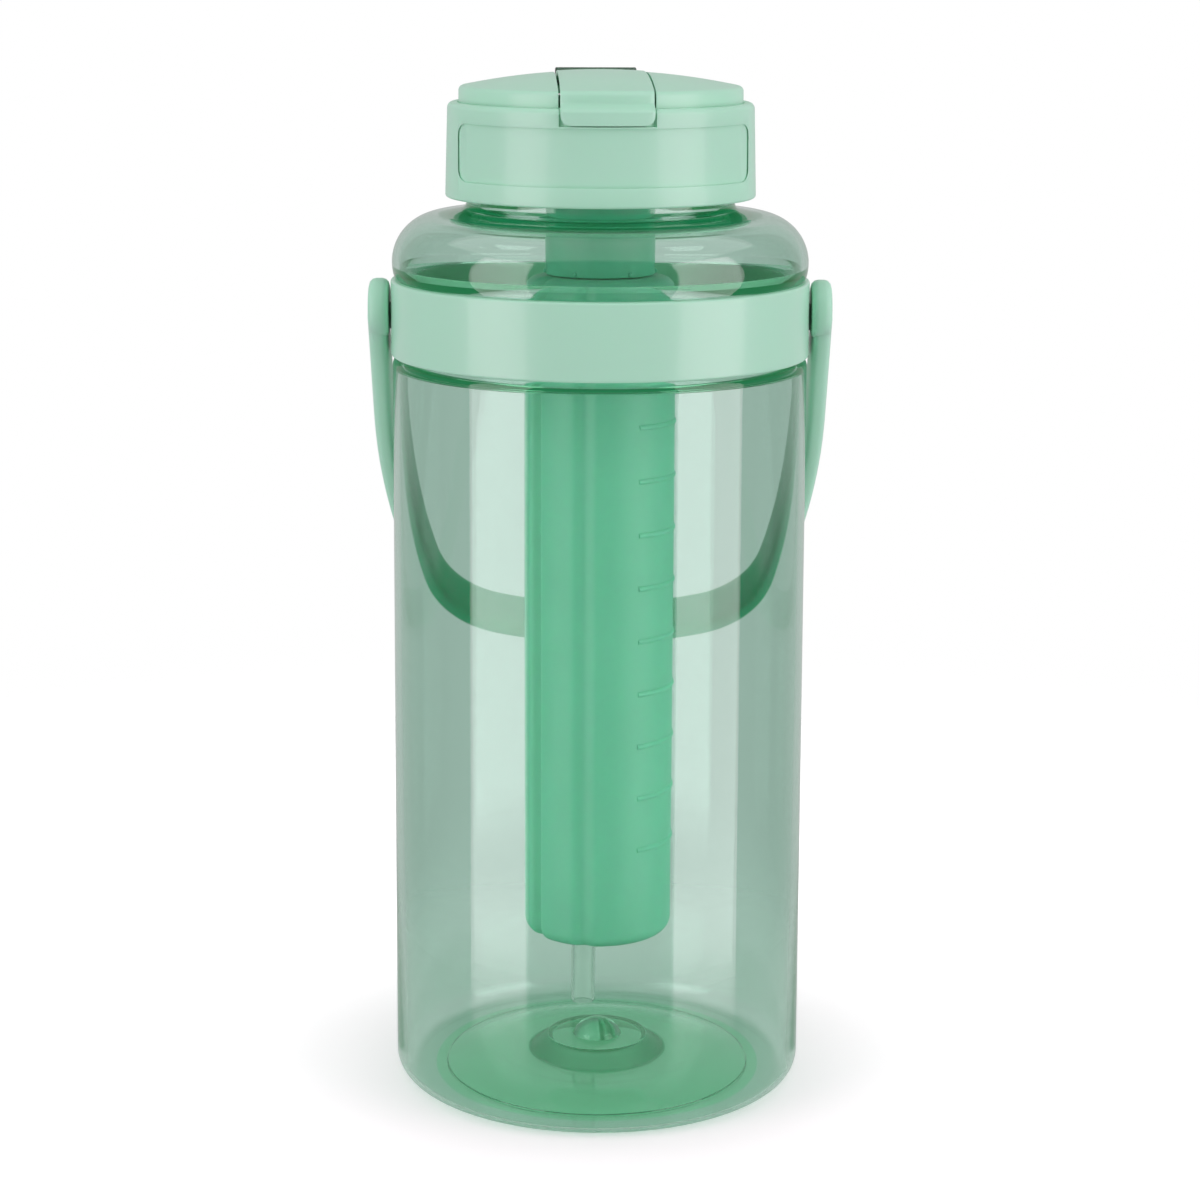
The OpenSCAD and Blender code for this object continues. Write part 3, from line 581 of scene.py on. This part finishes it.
def buildBand():
    b = band
    ear, gap, half = b["earDeg"], b["gap"], 180 - 2 * b["earDeg"]
    outLap, inLap = b["lapR"] + b["lapFit"] / 2, b["lapR"] - b["lapFit"] / 2
    front = bandSector("front", b["inR"], b["outR"], -180 + ear, half, b["edge"], b["steps"])
    outer = [bandSector("ear", outLap, b["outR"], start, 2 * ear, b["edge"], b["earSteps"])
             for start in (-180 - ear, -ear)]
    rear = bandSector("rear", b["inR"], b["outR"], ear + gap, half - 2 * gap, b["edge"], b["steps"])
    inner = [bandSector("ear", b["inR"], inLap, start, 2 * ear, b["lapEdge"], b["earSteps"])
             for start in (-ear, 180 - ear)]
    dress(joinPieces("bandFront", front, *outer), mintPlastic, "jug", "mint_plastic", "band_front")
    dress(joinPieces("bandRear", rear, *inner), mintPlastic, "jug", "mint_plastic", "band_rear")


buildBand()

handle = {
    "pivotZ": 211.3, "width": 15.2, "thick": 5.4, "reach": 114.8, "crownR": 110.0, "cornerR": 31.0,
    "sideR": 220.0, "sideDeg": 15.0, "armX": 59.3, "padR": 8.0, "padPast": 2.5, "padIn": 56.25,
    "padThick": 5.4, "padEdge": 1.9, "hangDeg": 33.09, "softness": 0.6, "sectionPoints": 48, "smoothDeg": 40,
}


def buildHandle():
    h = handle
    sideRad = math.radians(h["sideDeg"])
    sideC, crownC = h["sideR"] - h["cornerR"], h["crownR"] - h["cornerR"]
    crownRad = math.asin((h["armX"] - h["sideR"] + sideC * math.cos(sideRad)) / crownC)
    crownZ = h["crownR"] - h["reach"]
    corner = (crownC * math.sin(crownRad), crownZ - crownC * math.cos(crownRad))
    side = (corner[0] - sideC * math.cos(sideRad), corner[1] + sideC * math.sin(sideRad))
    clearSelection()
    bpy.ops.mesh.primitive_circle_add(vertices=h["sectionPoints"], radius=1)
    piece = bpy.context.object

    def rounded(value):
        return math.copysign(abs(value) ** h["softness"], value)

    def section(co):  # soft-edged flat section at the middle of the grip
        angle = math.atan2(co.y, co.x)
        deep = h["reach"] + h["thick"] / 2 * rounded(math.cos(angle))
        return (0, h["width"] / 2 * rounded(math.sin(angle)) * mm, -deep * mm)

    shapeMesh(piece, section)
    bpy.ops.object.mode_set(mode="EDIT")
    bpy.ops.mesh.select_all(action="SELECT")
    bends = (((0, crownZ), crownRad, 14), (corner, math.pi / 2 - sideRad - crownRad, 24), (side, sideRad, 14))
    for (cx, cz), angle, steps in bends:
        bpy.ops.mesh.spin(steps=steps, angle=-angle, center=(cx * mm, 0, cz * mm), axis=(0, -1, 0))
    bpy.ops.mesh.extrude_region_move(TRANSFORM_OT_translate={"value": (0, 0, (h["padPast"] - side[1]) * mm)})
    bpy.ops.mesh.edge_face_add()
    bpy.ops.object.mode_set(mode="OBJECT")
    padOut = h["padIn"] + h["padThick"]
    pad = addRod("pad", h["padR"], (h["padIn"], 0, h["padPast"]), (padOut, 0, h["padPast"]), h["padEdge"], 72)
    makeActive(piece)
    mirror = piece.modifiers.new("otherSide", "MIRROR")
    mirror.merge_threshold = weldFine / 2
    bpy.ops.object.modifier_apply(modifier=mirror.name)
    bpy.ops.object.mode_set(mode="EDIT")
    closeMesh(h["smoothDeg"])
    otherPad = pad.copy()
    otherPad.data = pad.data.copy()
    bpy.context.collection.objects.link(otherPad)
    shapeMesh(otherPad, lambda co: (-co.x, co.y, co.z))
    makeActive(otherPad)
    bpy.ops.object.mode_set(mode="EDIT")
    closeMesh(h["smoothDeg"])
    joinPieces("swingHandle", piece, pad, otherPad)
    hang = Matrix.Rotation(math.radians(h["hangDeg"]), 4, "X")
    piece.data.transform(Matrix.Translation((0, 0, h["pivotZ"] * mm)) @ hang)
    dress(piece, handlePlastic, "handle", "mint_plastic", "bail_handle")


buildHandle()
print("band and handle made")

# Lid

lid = {
    "plate": 263.2, "plateTop": 265.4, "skirtLow": 243.3, "skirtInR": 38.7, "outR": 41.2, "topR": 40.6,
    "stepTop": 268.2, "stepRound": 1.6, "deckR": 37.6, "deckTop": 272.2, "dome": 4.0, "deckEdge": 1.4,
    "deckFit": 0.2, "deckSoft": 0.45, "panelLow": 248.5, "panelHigh": 263.4, "panelDepth": 0.7,
    "panelHalfDeg": 66.3, "panelRound": 3.0, "panelSoft": 0.3, "panelFade": (0.3, 46.0, 64.0),
    "notchR": 39.7, "notchLow": 263.8, "notchTop": 266.9, "channel": 12.35, "floorTop": 268.3,
    "frontFloor": 7.6, "rearFloor": 5.0, "plateBevel": 0.8, "lowInner": 0.5, "lowOuter": 0.7, "lipRound": 0.3,
    "clearance": 2, "viewReach": 60, "turns": 200,
}
crestTop = lid["deckTop"] + lid["dome"]
domeR = (lid["deckR"] ** 2 + lid["dome"] ** 2) / (2 * lid["dome"])


def domeHeight(x, y, radius=domeR, top=crestTop):
    return top - radius + math.sqrt(radius * radius - x * x - y * y)


def lidSide(z):
    taper = (lid["outR"] - lid["topR"]) / (lid["stepTop"] - lid["skirtLow"])
    return lid["outR"] - taper * (z - lid["skirtLow"])


def panelCutter(toward):
    # a curved shell, trimmed by a front view of the panel with rounded corners
    low, high = lid["panelLow"], lid["panelHigh"]
    outer, deep = lid["outR"] + lid["clearance"], lid["panelDepth"]
    sides = [(lidSide(low) - deep, low), (outer, low), (outer, high), (lidSide(high) - deep, high)]
    shell = turned("panelShell", sides, steps=lid["turns"], closed=True)
    rise, start, end = lid["panelFade"]

    def runOut(co):  # the recess gets shallow towards its ends
        r = math.hypot(co.x, co.y)
        if r > lid["outR"] * mm:
            return co
        turn = math.degrees(math.atan2(abs(co.x), abs(co.y)))
        t = min(1, max(0, (turn - start) / (end - start)))
        grow = 1 + rise * mm * t * t * (3 - 2 * t) / r
        return (co.x * grow, co.y * grow, co.z)

    shapeMesh(shell, runOut)
    halfRad = math.radians(lid["panelHalfDeg"])
    rz = lid["panelRound"]
    rx = rz * math.cos(halfRad) * 1.6  # a corner is narrower, because it is seen at a slant
    x, top, bottom = lid["outR"] * math.sin(halfRad) - rx, high + 0.01 - rz, low - 0.01 + rz
    corners = ((x, top, 0), (-x, top, 90), (-x, bottom, 180), (x, bottom, 270))
    turns = [(cx, cz, math.radians(first + 15 * i)) for cx, cz, first in corners for i in range(7)]
    view = drawOutline("panelView", [(cx + rx * math.cos(a), cz + rz * math.sin(a)) for cx, cz, a in turns],
                       closed=True)
    bpy.ops.mesh.remove_doubles(threshold=weldTiny)
    bpy.ops.mesh.edge_face_add()
    bpy.ops.mesh.extrude_region_move(TRANSFORM_OT_translate={"value": (0, lid["viewReach"] * toward * mm, 0)})
    closeMesh()
    return cutAway(shell, view, "INTERSECT")


def addBlock(size, centre):
    clearSelection()
    bpy.ops.mesh.primitive_cube_add(size=1, location=[v * mm for v in centre])
    block = bpy.context.object
    block.scale = [v * mm for v in size]
    return settle(block)


def tabSeatCutter(inner):
    # the seat of the strap's tab, kept to the width of the strap's channel
    l = lid
    reach, top = l["outR"] + l["clearance"], l["stepTop"] + 1
    section = [(inner - 0.1, l["stepTop"]), (inner + 0.4, l["stepTop"] - 0.1), (l["notchR"], l["notchTop"]),
               (l["notchR"], l["notchLow"]), (reach, l["notchLow"]), (reach, top), (inner - 0.1, top)]
    seat = turned("tabSeat", section, steps=l["turns"], closed=True)
    return cutAway(seat, addBlock((2 * l["channel"], 60, 20), (0, -l["topR"], l["notchTop"])), "INTERSECT")


def weldCuts(piece):
    makeActive(piece)
    bpy.ops.object.mode_set(mode="EDIT")
    bpy.ops.mesh.select_all(action="SELECT")
    bpy.ops.mesh.remove_doubles(threshold=weldFine)
    bpy.ops.mesh.dissolve_degenerate(threshold=weldFine)
    bpy.ops.object.mode_set(mode="OBJECT")


def buildSkirt():
    l = lid
    inner, edge = l["deckR"] + l["deckFit"], l["stepRound"]
    bevel, low, out, lip = l["plateBevel"], l["lowInner"], l["lowOuter"], l["lipRound"]
    points = [(0, l["plate"]), (l["skirtInR"] - bevel, l["plate"]), (l["skirtInR"], l["plate"] - bevel)]
    points += arcPoints(l["skirtInR"] + low, l["skirtLow"] + low, low, 180, 270, 4)
    points += arcPoints(l["outR"] - out, l["skirtLow"] + out, out, -90, 0, 6)
    points += arcPoints(l["topR"] - edge, l["stepTop"] - edge, edge, 0, 90, 12)
    points += arcPoints(inner + lip, l["stepTop"] - lip, lip, 90, 180, 3)
    points += [(inner, l["plateTop"]), (0, l["plateTop"])]
    piece = turned("lidSkirt", points, steps=l["turns"])
    for toward in (-1, 1):
        cutAway(piece, panelCutter(toward))
    cutAway(piece, tabSeatCutter(inner))
    weldCuts(piece)
    softenEdges(piece, l["panelSoft"], 2, 40)
    dress(turnWithLid(piece), lidPlastic, "lid", "mint_plastic", "lid_skirt")


buildSkirt()
skirtRib = {"low": 247.9, "pitch": 7.5, "depth": 1.3, "width": 3.0, "sink": 0.3, "rounds": 1.25, "steps": 96}
skirtThread = turnWithLid(buildThread("skirtThread", lid["skirtInR"], -1, skirtRib))
dress(skirtThread, lidPlastic, "lid", "mint_plastic")

hinge = {
    "y": 33.0, "z": 272.2, "barrelR": 3.6, "barrelHalf": 11.15, "barrelEdge": 0.4,
    "earR": 2.0, "earHalf": 15.5, "earEdge": 0.3, "earGap": 0.02,
}


def hingeRod(name, radius, fromX, toX, edge, vertices):
    y, z = hinge["y"], hinge["z"]
    return addRod(name, radius, (fromX, y, z), (toX, y, z), edge, vertices)


def buildDeck():
    l, edge = lid, lid["deckEdge"]
    inR = l["deckR"] - edge
    points = [(0, l["plateTop"]), (l["deckR"], l["plateTop"])]
    points += arcPoints(inR, domeHeight(inR, 0) - edge, edge, 0, 84, 8)
    points += [(r, domeHeight(r, 0)) for r in [inR - inR * i / 14 for i in range(1, 15)]]
    piece = turned("lidDeck", points, steps=l["turns"])
    wide, tall = 2 * l["channel"], 20
    cutAway(piece, addBlock((wide, 2 * l["deckR"] + 4, tall), (0, 0, l["floorTop"] + tall / 2)))
    front, rear = l["deckR"] - l["frontFloor"], hinge["y"] - l["rearFloor"]
    through = (0, (rear - front) / 2, l["plateTop"] + tall / 2 - 0.1)
    cutAway(piece, addBlock((wide, front + rear, tall), through))
    softenEdges(piece, l["deckSoft"], 3, 50)
    earIn = l["channel"] + hinge["earGap"]
    ears = [hingeRod("ear", hinge["earR"], side * earIn, side * hinge["earHalf"], hinge["earEdge"], 40)
            for side in (-1, 1)]
    joinPieces("lidDeck", piece, *ears)
    dress(turnWithLid(piece), lidPlastic, "lid", "mint_plastic", "lid_deck")


buildDeck()

strap = {
    "half": 11.95, "taper": 0.8, "thick": 1.3, "lift": 0.3, "rearY": 29.6, "bendR": 37.9, "bendRound": 1.6,
    "tabR": 41.3, "ledgeTop": 269.35, "ledgeDrop": 1.4, "ledgeRound": 0.8, "tabLow": 264.15, "tabRound": 2.5,
    "edge": 0.45, "across": 16,
}


def strapPath():
    # middle line of the outer face in the lid's own plane, from the hinge to the tab's lower edge, as [y, z]
    s = strap
    top, radius = crestTop + s["lift"], domeR + s["lift"]
    bendStart, rearY = s["bendR"] - s["bendRound"], s["rearY"]
    rows = [rearY - (rearY + bendStart) * i / 40 for i in range(40)]
    path = [(y, domeHeight(0, y, radius, top)) for y in rows]
    bendZ = domeHeight(0, bendStart, radius, top)
    path += [(-r, z) for r, z in arcPoints(bendStart, bendZ - s["bendRound"], s["bendRound"], 88, 0, 8)]
    # soft ledge out to the tab
    bend, tab, ledge, drop, r = s["bendR"], s["tabR"], s["ledgeTop"], s["ledgeDrop"], s["ledgeRound"]
    path += [(-bend, ledge + 0.5), (-bend - 0.10, ledge + 0.12), (-bend - 0.45, ledge - 0.18),
             (-bend - (tab - bend) * 0.5, ledge - drop * 0.5), (-tab + r, ledge - drop * 0.8),
             (-tab + r * 0.35, ledge - drop * 0.98), (-tab, ledge - drop - r * 0.6)]
    z0, z1 = ledge - drop - r * 0.6, s["tabLow"] + s["tabRound"]
    path += [(-tab, z0 + (z1 - z0) * i / 3) for i in range(1, 4)]
    path += [(-tab, z1 - s["tabRound"] * math.sin(math.radians(90 * i / 8))) for i in range(1, 9)]
    return path


def buildStrap():
    s = strap
    path = strapPath()
    rows = len(path)
    tabLow, start = s["tabLow"] + s["tabRound"], s["bendR"] - s["bendRound"]
    top, radius = crestTop + s["lift"], domeR + s["lift"]
    clearSelection()
    bpy.ops.mesh.primitive_grid_add(x_subdivisions=s["across"], y_subdivisions=rows - 1, size=2)
    piece = bpy.context.object

    def place(co):
        y, z = path[round((co.y + 1) / 2 * (rows - 1))]
        half = s["half"] - s["taper"] * max(0, (y + s["tabR"])) / (hinge["y"] + s["tabR"])
        if y < -s["bendR"] and z < tabLow:  # rounded corners of the tab
            half -= s["tabRound"] - math.sqrt(max(0, s["tabRound"] ** 2 - (tabLow - z) ** 2))
        x = co.x * half
        onDome = y > -start - 0.01
        if y < -half:  # rows curve more and more like the rim
            share = min(1, (-y - half) / (start - half))
            y += (-y - math.sqrt(y * y - x * x)) * share * share * (3 - 2 * share)
        if onDome:
            z = domeHeight(x, y, radius, top)
        return (x * mm, y * mm, z * mm)

    shapeMesh(piece, place)
    makeActive(piece)
    bpy.ops.object.mode_set(mode="EDIT")
    bpy.ops.mesh.select_all(action="SELECT")
    bpy.ops.mesh.remove_doubles(threshold=weldFine)
    bpy.ops.mesh.flip_normals()  # the rows run from back to front, which lays the grid face down
    bpy.ops.object.mode_set(mode="OBJECT")
    wall = piece.modifiers.new("wall", "SOLIDIFY")
    wall.thickness = s["thick"] * mm
    wall.offset = -1
    wall.use_even_offset = True
    bpy.ops.object.modifier_apply(modifier=wall.name)
    softenEdges(piece, s["edge"], 3, 60)
    bpy.ops.object.shade_smooth_by_angle(angle=math.radians(40))
    piece.name = piece.data.name = "flipStrap"
    dress(turnWithLid(piece), lidPlastic, "strap", "mint_plastic", "flip_strap")


buildStrap()
barrelEnd = hinge["barrelHalf"]
barrel = hingeRod("hingeBarrel", hinge["barrelR"], -barrelEnd, barrelEnd, hinge["barrelEdge"], 96)
dress(turnWithLid(barrel), darkClear, "strap", "dark_clear_plastic", "hinge_barrel")
print("lid made")

# Cooling core, holder and straw

core = {
    "r": 20.2, "low": 40.0, "high": 222.5, "topRound": 4.5, "lowRound": 4.0, "neckR": 11.5, "neckHigh": 240.5,
    "creases": [(-14.1, 0.9, 3.0), (-61.0, 2.6, 3.6)],  # each as azimuth, depth and the radius of its lip
    "softDeg": 10.0, "fluteR": 6.0, "fluteX": -1.67, "fluteY": 19.5,
    "marks": 11, "markLow": 67.8, "markPitch": 14.64, "markFrom": 29.0, "markSpan": 68.4, "markR": 0.9,
    "markSink": 0.48,
}


def coreRadius(azimuth, inset=0.0):
    # the core's outline in plan, drawn in by an inset; azimuth runs from the front towards +X, in degrees
    r = core["r"] - inset
    for turn, depth, lip in core["creases"]:
        away = abs((azimuth - turn + 180) % 360 - 180)
        d = core["r"] - lip
        beta = math.degrees(math.asin(lip / d))
        soft = lip - 0.75 * inset
        if depth < lip:  # shallow crease with soft sides
            r -= depth * math.cos(math.radians(90 * min(1, away / core["softDeg"]))) ** 2
            continue
        if away < beta:
            off = math.radians(beta - away)
            side = d * math.sin(off)
            lobe = d * math.cos(off) + math.sqrt(soft * soft - side * side) if side < soft else 0
            valley = core["r"] - depth - 0.9 * inset + 0.9 * (away / beta) ** 2
            r = min(r, max(valley, lobe))
    reach = math.hypot(core["fluteX"], core["fluteY"])
    at = 180 - math.degrees(math.atan2(core["fluteX"], core["fluteY"]))
    off = math.radians((azimuth - at + 180) % 360 - 180)
    flute = core["fluteR"] + inset
    if abs(math.sin(off)) < flute / reach and math.cos(off) > 0:
        r = min(r, reach * math.cos(off) - math.sqrt(flute ** 2 - (reach * math.sin(off)) ** 2))
    return r


def drawPlan(name, outline):
    clearSelection()
    bpy.ops.mesh.primitive_circle_add(vertices=len(outline), radius=1, fill_type="NGON")
    piece = bpy.context.object
    piece.name = piece.data.name = name
    for vertex, (x, y) in zip(piece.data.vertices, outline):
        vertex.co = (x * mm, y * mm, 0)
    return piece


def coreAngles():
    # even steps, closer together where a crease folds in
    angles = [i * 1.25 for i in range(288)]
    folds = [0] + [s * step for step in (0.06, 0.2, 0.4, 0.65, 0.95, 1.6, 2.2, 3.2) for s in (-1, 1)]
    for turn, depth, lip in core["creases"]:
        angles += [turn % 360 + fold for fold in folds]
    return sorted(set(round(a % 360, 3) for a in angles))


def levelMark(level):
    # a raised dash round the core's right side
    c = core
    middle, z = c["r"] - c["markSink"], c["markLow"] + level * c["markPitch"]
    section = arcPoints(middle, z, c["markR"], 0, 330, 11)
    mark = drawOutline("mark", section, azimuth=c["markFrom"] - 90, closed=True)
    spinOutline(36, c["markSpan"], 60)
    return mark


def buildCore():
    c = core
    low, high = c["low"] + c["lowRound"], c["high"] - c["topRound"]
    rings = [(c["lowRound"] - x, low + z) for x, z in arcPoints(0, 0, c["lowRound"], -90, 0, 10)]
    rings += [(0, low + (high - low) * i / 12) for i in range(1, 12)]
    rings += [(c["topRound"] - x, high + z) for x, z in arcPoints(0, 0, c["topRound"], 0, 90, 10)]
    turns = [math.radians(a) for a in coreAngles()]
    piece = drawPlan("coreVessel", [(math.cos(a), math.sin(a)) for a in turns])
    bpy.ops.object.mode_set(mode="EDIT")
    bpy.ops.mesh.select_all(action="SELECT")
    for _ in rings[1:]:
        bpy.ops.mesh.extrude_region_move(TRANSFORM_OT_translate={"value": (0, 0, mm)})
    bpy.ops.object.mode_set(mode="OBJECT")

    def place(co):  # each level of the plain column takes its ring's outline and height
        inset, z = rings[round(co.z / mm)]
        azimuth = math.atan2(co.y, co.x)
        r = coreRadius(math.degrees(azimuth), inset)
        return (r * math.sin(azimuth) * mm, -r * math.cos(azimuth) * mm, z * mm)

    shapeMesh(piece, place)
    makeActive(piece)
    bpy.ops.object.mode_set(mode="EDIT")
    bpy.ops.mesh.select_all(action="SELECT")
    bpy.ops.mesh.normals_make_consistent(inside=False)
    bpy.ops.object.mode_set(mode="OBJECT")
    cutAway(piece, joinPieces("marks", *[levelMark(i) for i in range(c["marks"])]), "UNION")
    makeActive(piece)
    bpy.ops.object.shade_smooth_by_angle(angle=math.radians(30))
    neck = addRod("neck", c["neckR"], (0, 0, c["high"] - 1), (0, 0, c["neckHigh"]), 0.4, 96)
    joinPieces("coreVessel", piece, neck)
    dress(turnWithLid(piece), frostedPlastic, "core", "frosted_plastic", "core_vessel")


buildCore()

holder = {
    "inR": 12.1, "outR": 14.6, "low": 222.8, "high": 263.2, "edge": 0.5,
    "lugs": 6, "lugR": 0.7, "lugZ": 223.8,
}


def buildHolder():
    h, edge = holder, holder["edge"]
    points = arcPoints(h["inR"] + edge, h["low"] + edge, edge, 180, 270, 4)
    points += arcPoints(h["outR"] - edge, h["low"] + edge, edge, -90, 0, 4)
    points += [(h["outR"], h["high"]), (h["inR"], h["high"])]
    piece = turned("coreHolder", points, steps=96, closed=True)
    lugs = []
    for i in range(h["lugs"]):
        turn = 2 * math.pi * (i + 0.5) / h["lugs"]
        place = [v * mm for v in (h["outR"] * math.sin(turn), -h["outR"] * math.cos(turn), h["lugZ"])]
        clearSelection()
        bpy.ops.mesh.primitive_ico_sphere_add(subdivisions=3, radius=h["lugR"] * mm, location=place)
        lugs.append(settle(bpy.context.object))
        bpy.ops.object.shade_smooth()
    joinPieces("coreHolder", piece, *lugs)
    dress(turnWithLid(piece), collarPlastic, "lid", "collar_plastic", "core_holder")


buildHolder()

straw = {"r": 3.45, "wall": 0.8, "top": 259.5, "foot": 11.2, "y": 18.6, "leanDeg": 0.77, "lip": 0.3}


def buildStraw():
    s, r, lip = straw, straw["r"], straw["lip"]
    length = s["top"] - s["foot"]
    inner = r - s["wall"]
    points = arcPoints(r - lip, -length + lip, lip, -90, 0, 3) + [(r, -length / 2)]
    points += arcPoints(r - lip, -lip, lip, 0, 90, 3) + [(inner, 0), (inner, -length / 2), (inner, -length)]
    piece = turned("drinkingStraw", points, steps=48, closed=True)
    lean = Matrix.Rotation(math.radians(s["leanDeg"]), 4, "Y")
    piece.data.transform(Matrix.Translation((0, s["y"] * mm, s["top"] * mm)) @ lean)
    dress(turnWithLid(piece), strawPlastic, "lid", "straw_plastic", "straw")


buildStraw()

carried = {
    "pivot_studs": shadedStudPlastic, "spout": lidPlastic, "vent_valve": sealRubber, "lid_gasket": sealRubber,
    "hinge_pin": pinSteel, "spout_plug": sealRubber, "straw_adapter": collarPlastic,
    "core_plug": collarPlastic, "core_gel": gelFilling, "core_o_ring": sealRubber,
}
for node, material in carried.items():
    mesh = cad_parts[node].data
    mesh.materials.clear()
    mesh.materials.append(material)
print("core, holder and straw made")

# Studio and camera

studio = {
    "floorColour": (0.94, 0.91, 0.93), "standColour": (0.88, 0.88, 0.88), "floorSize": 3.0,
    "fade": (0.16, 0.5), "stand": (0.09, 0.2), "lift": (0.26, 0.62), "liftReach": (0.058, 0.13),
    "backdrop": 1.0,
    "front": 0.23, "behind": 0.56, "turnover": (0.45, 0.9), "boxColour": (1.0, 0.84, 0.92), "fibreScale": 220,
    "left": {"azimuth": -56.7, "distance": 1.15, "z": 0.2, "size": (0.72, 1.7), "watts": 9.8},
    "right": {"azimuth": 62.7, "distance": 1.15, "z": 0.2, "size": (0.85, 1.7), "watts": 11.6},
    "top": {"place": (0, -0.2, 1.6), "size": (3.4, 2.2), "watts": 16},
}


def addLamp(name, place, spot):
    clearSelection()
    bpy.ops.object.light_add(type="AREA", location=place)
    lamp = bpy.context.object
    lamp.name = name
    lamp.data.shape = "RECTANGLE"
    lamp.data.size, lamp.data.size_y = spot["size"]
    lamp.data.energy = spot["watts"]
    return lamp


def softbox(name, spot):
    turn = math.radians(spot["azimuth"])
    away = spot["distance"]
    lamp = addLamp(name, (away * math.sin(turn), -away * math.cos(turn), spot["z"]), spot)
    lamp.data.color = studio["boxColour"]
    aim = Vector((-lamp.location.x, -lamp.location.y, 0))
    lamp.rotation_euler = aim.to_track_quat("-Z", "Y").to_euler()


def buildPaper():
    # plain paper that fades into the white backdrop away from the pitcher
    paper = bpy.data.materials.new("floorPaper")
    paper.use_nodes = True
    tree = paper.node_tree
    nodes, links = tree.nodes, tree.links
    shader = nodes["Principled BSDF"]
    shader.inputs["Roughness"].default_value = 0.9
    shader.inputs["Emission Color"].default_value = (1, 1, 1, 1)
    where = nodes.new("ShaderNodeTexCoord")
    fibres = nodes.new("ShaderNodeTexNoise")
    fibres.inputs["Scale"].default_value = studio["fibreScale"]
    bump = nodes.new("ShaderNodeBump")
    bump.inputs["Strength"].default_value = 0.02
    links.new(where.outputs["Object"], fibres.inputs["Vector"])
    links.new(fibres.outputs["Fac"], bump.inputs["Height"])
    links.new(bump.outputs["Normal"], shader.inputs["Normal"])
    away = addLength(tree, where.outputs["Object"])
    path = nodes.new("ShaderNodeLightPath")
    toCamera = path.outputs["Is Camera Ray"]
    seen = nodes.new("ShaderNodeMix")
    feed(tree, seen.inputs[0], toCamera)
    feed(tree, seen.inputs[2], addRange(tree, away, studio["stand"], (0, 1), smooth=True))
    feed(tree, seen.inputs[3], addRange(tree, away, studio["fade"], (0, 1), smooth=True))
    tone = addColourMix(tree, toCamera, (*studio["standColour"], 1), (*studio["floorColour"], 1))
    links.new(tone, shader.inputs["Base Color"])
    lift = addRange(tree, away, studio["liftReach"], studio["lift"])
    links.new(addMath(tree, "MULTIPLY", toCamera, lift), shader.inputs["Emission Strength"])
    gone = nodes.new("ShaderNodeBsdfTransparent")
    mix = addShaderMix(tree, seen.outputs[0], shader.outputs["BSDF"], gone.outputs["BSDF"])
    links.new(mix, nodes["Material Output"].inputs["Surface"])
    return paper


def buildWorld():
    # dim in front and bright behind, with a white backdrop for the camera
    world = bpy.data.worlds.new("studioWorld")
    bpy.context.scene.world = world
    world.use_nodes = True
    tree = world.node_tree
    nodes, links = tree.nodes, tree.links
    where = nodes.new("ShaderNodeTexCoord")
    split = nodes.new("ShaderNodeSeparateXYZ")
    links.new(where.outputs["Generated"], split.inputs[0])
    levels = (studio["front"], studio["behind"])
    depth = addRange(tree, split.outputs["Y"], studio["turnover"], levels, smooth=True)
    path = nodes.new("ShaderNodeLightPath")
    level = nodes.new("ShaderNodeMix")
    links.new(path.outputs["Is Camera Ray"], level.inputs[0])
    links.new(depth, level.inputs[2])
    level.inputs[3].default_value = studio["backdrop"]
    nodes["Background"].inputs["Color"].default_value = (1, 1, 1, 1)
    links.new(level.outputs[0], nodes["Background"].inputs["Strength"])


def buildStudio():
    clearSelection()
    bpy.ops.mesh.primitive_plane_add(size=studio["floorSize"], location=(0, 0, -0.0002))
    floor = bpy.context.object
    floor.name = "floor"
    floor.data.materials.append(buildPaper())
    softbox("softLeft", studio["left"])
    softbox("softRight", studio["right"])
    addLamp("softTop", studio["top"]["place"], studio["top"])
    buildWorld()


buildStudio()

view = {
    "place": (0, -786.6, 308.5), "pitchDeg": 11.486, "rollDeg": 0.25, "lens": 88.5, "sensor": 36,
    "shift": (0.0008, -0.0458),
}
bpy.ops.object.camera_add(location=[v * mm for v in view["place"]])
camera = bpy.context.object
pitch = Matrix.Rotation(math.radians(90 - view["pitchDeg"]), 3, "X")
roll = Matrix.Rotation(math.radians(view["rollDeg"]), 3, "Z")
camera.rotation_euler = (pitch @ roll).to_euler()
camera.data.lens = view["lens"]
camera.data.sensor_width = view["sensor"]
camera.data.shift_x, camera.data.shift_y = view["shift"]
camera.data.clip_start = 0.01
bpy.context.scene.camera = camera
bpy.context.scene.view_settings.view_transform = "Standard"
print("studio set")
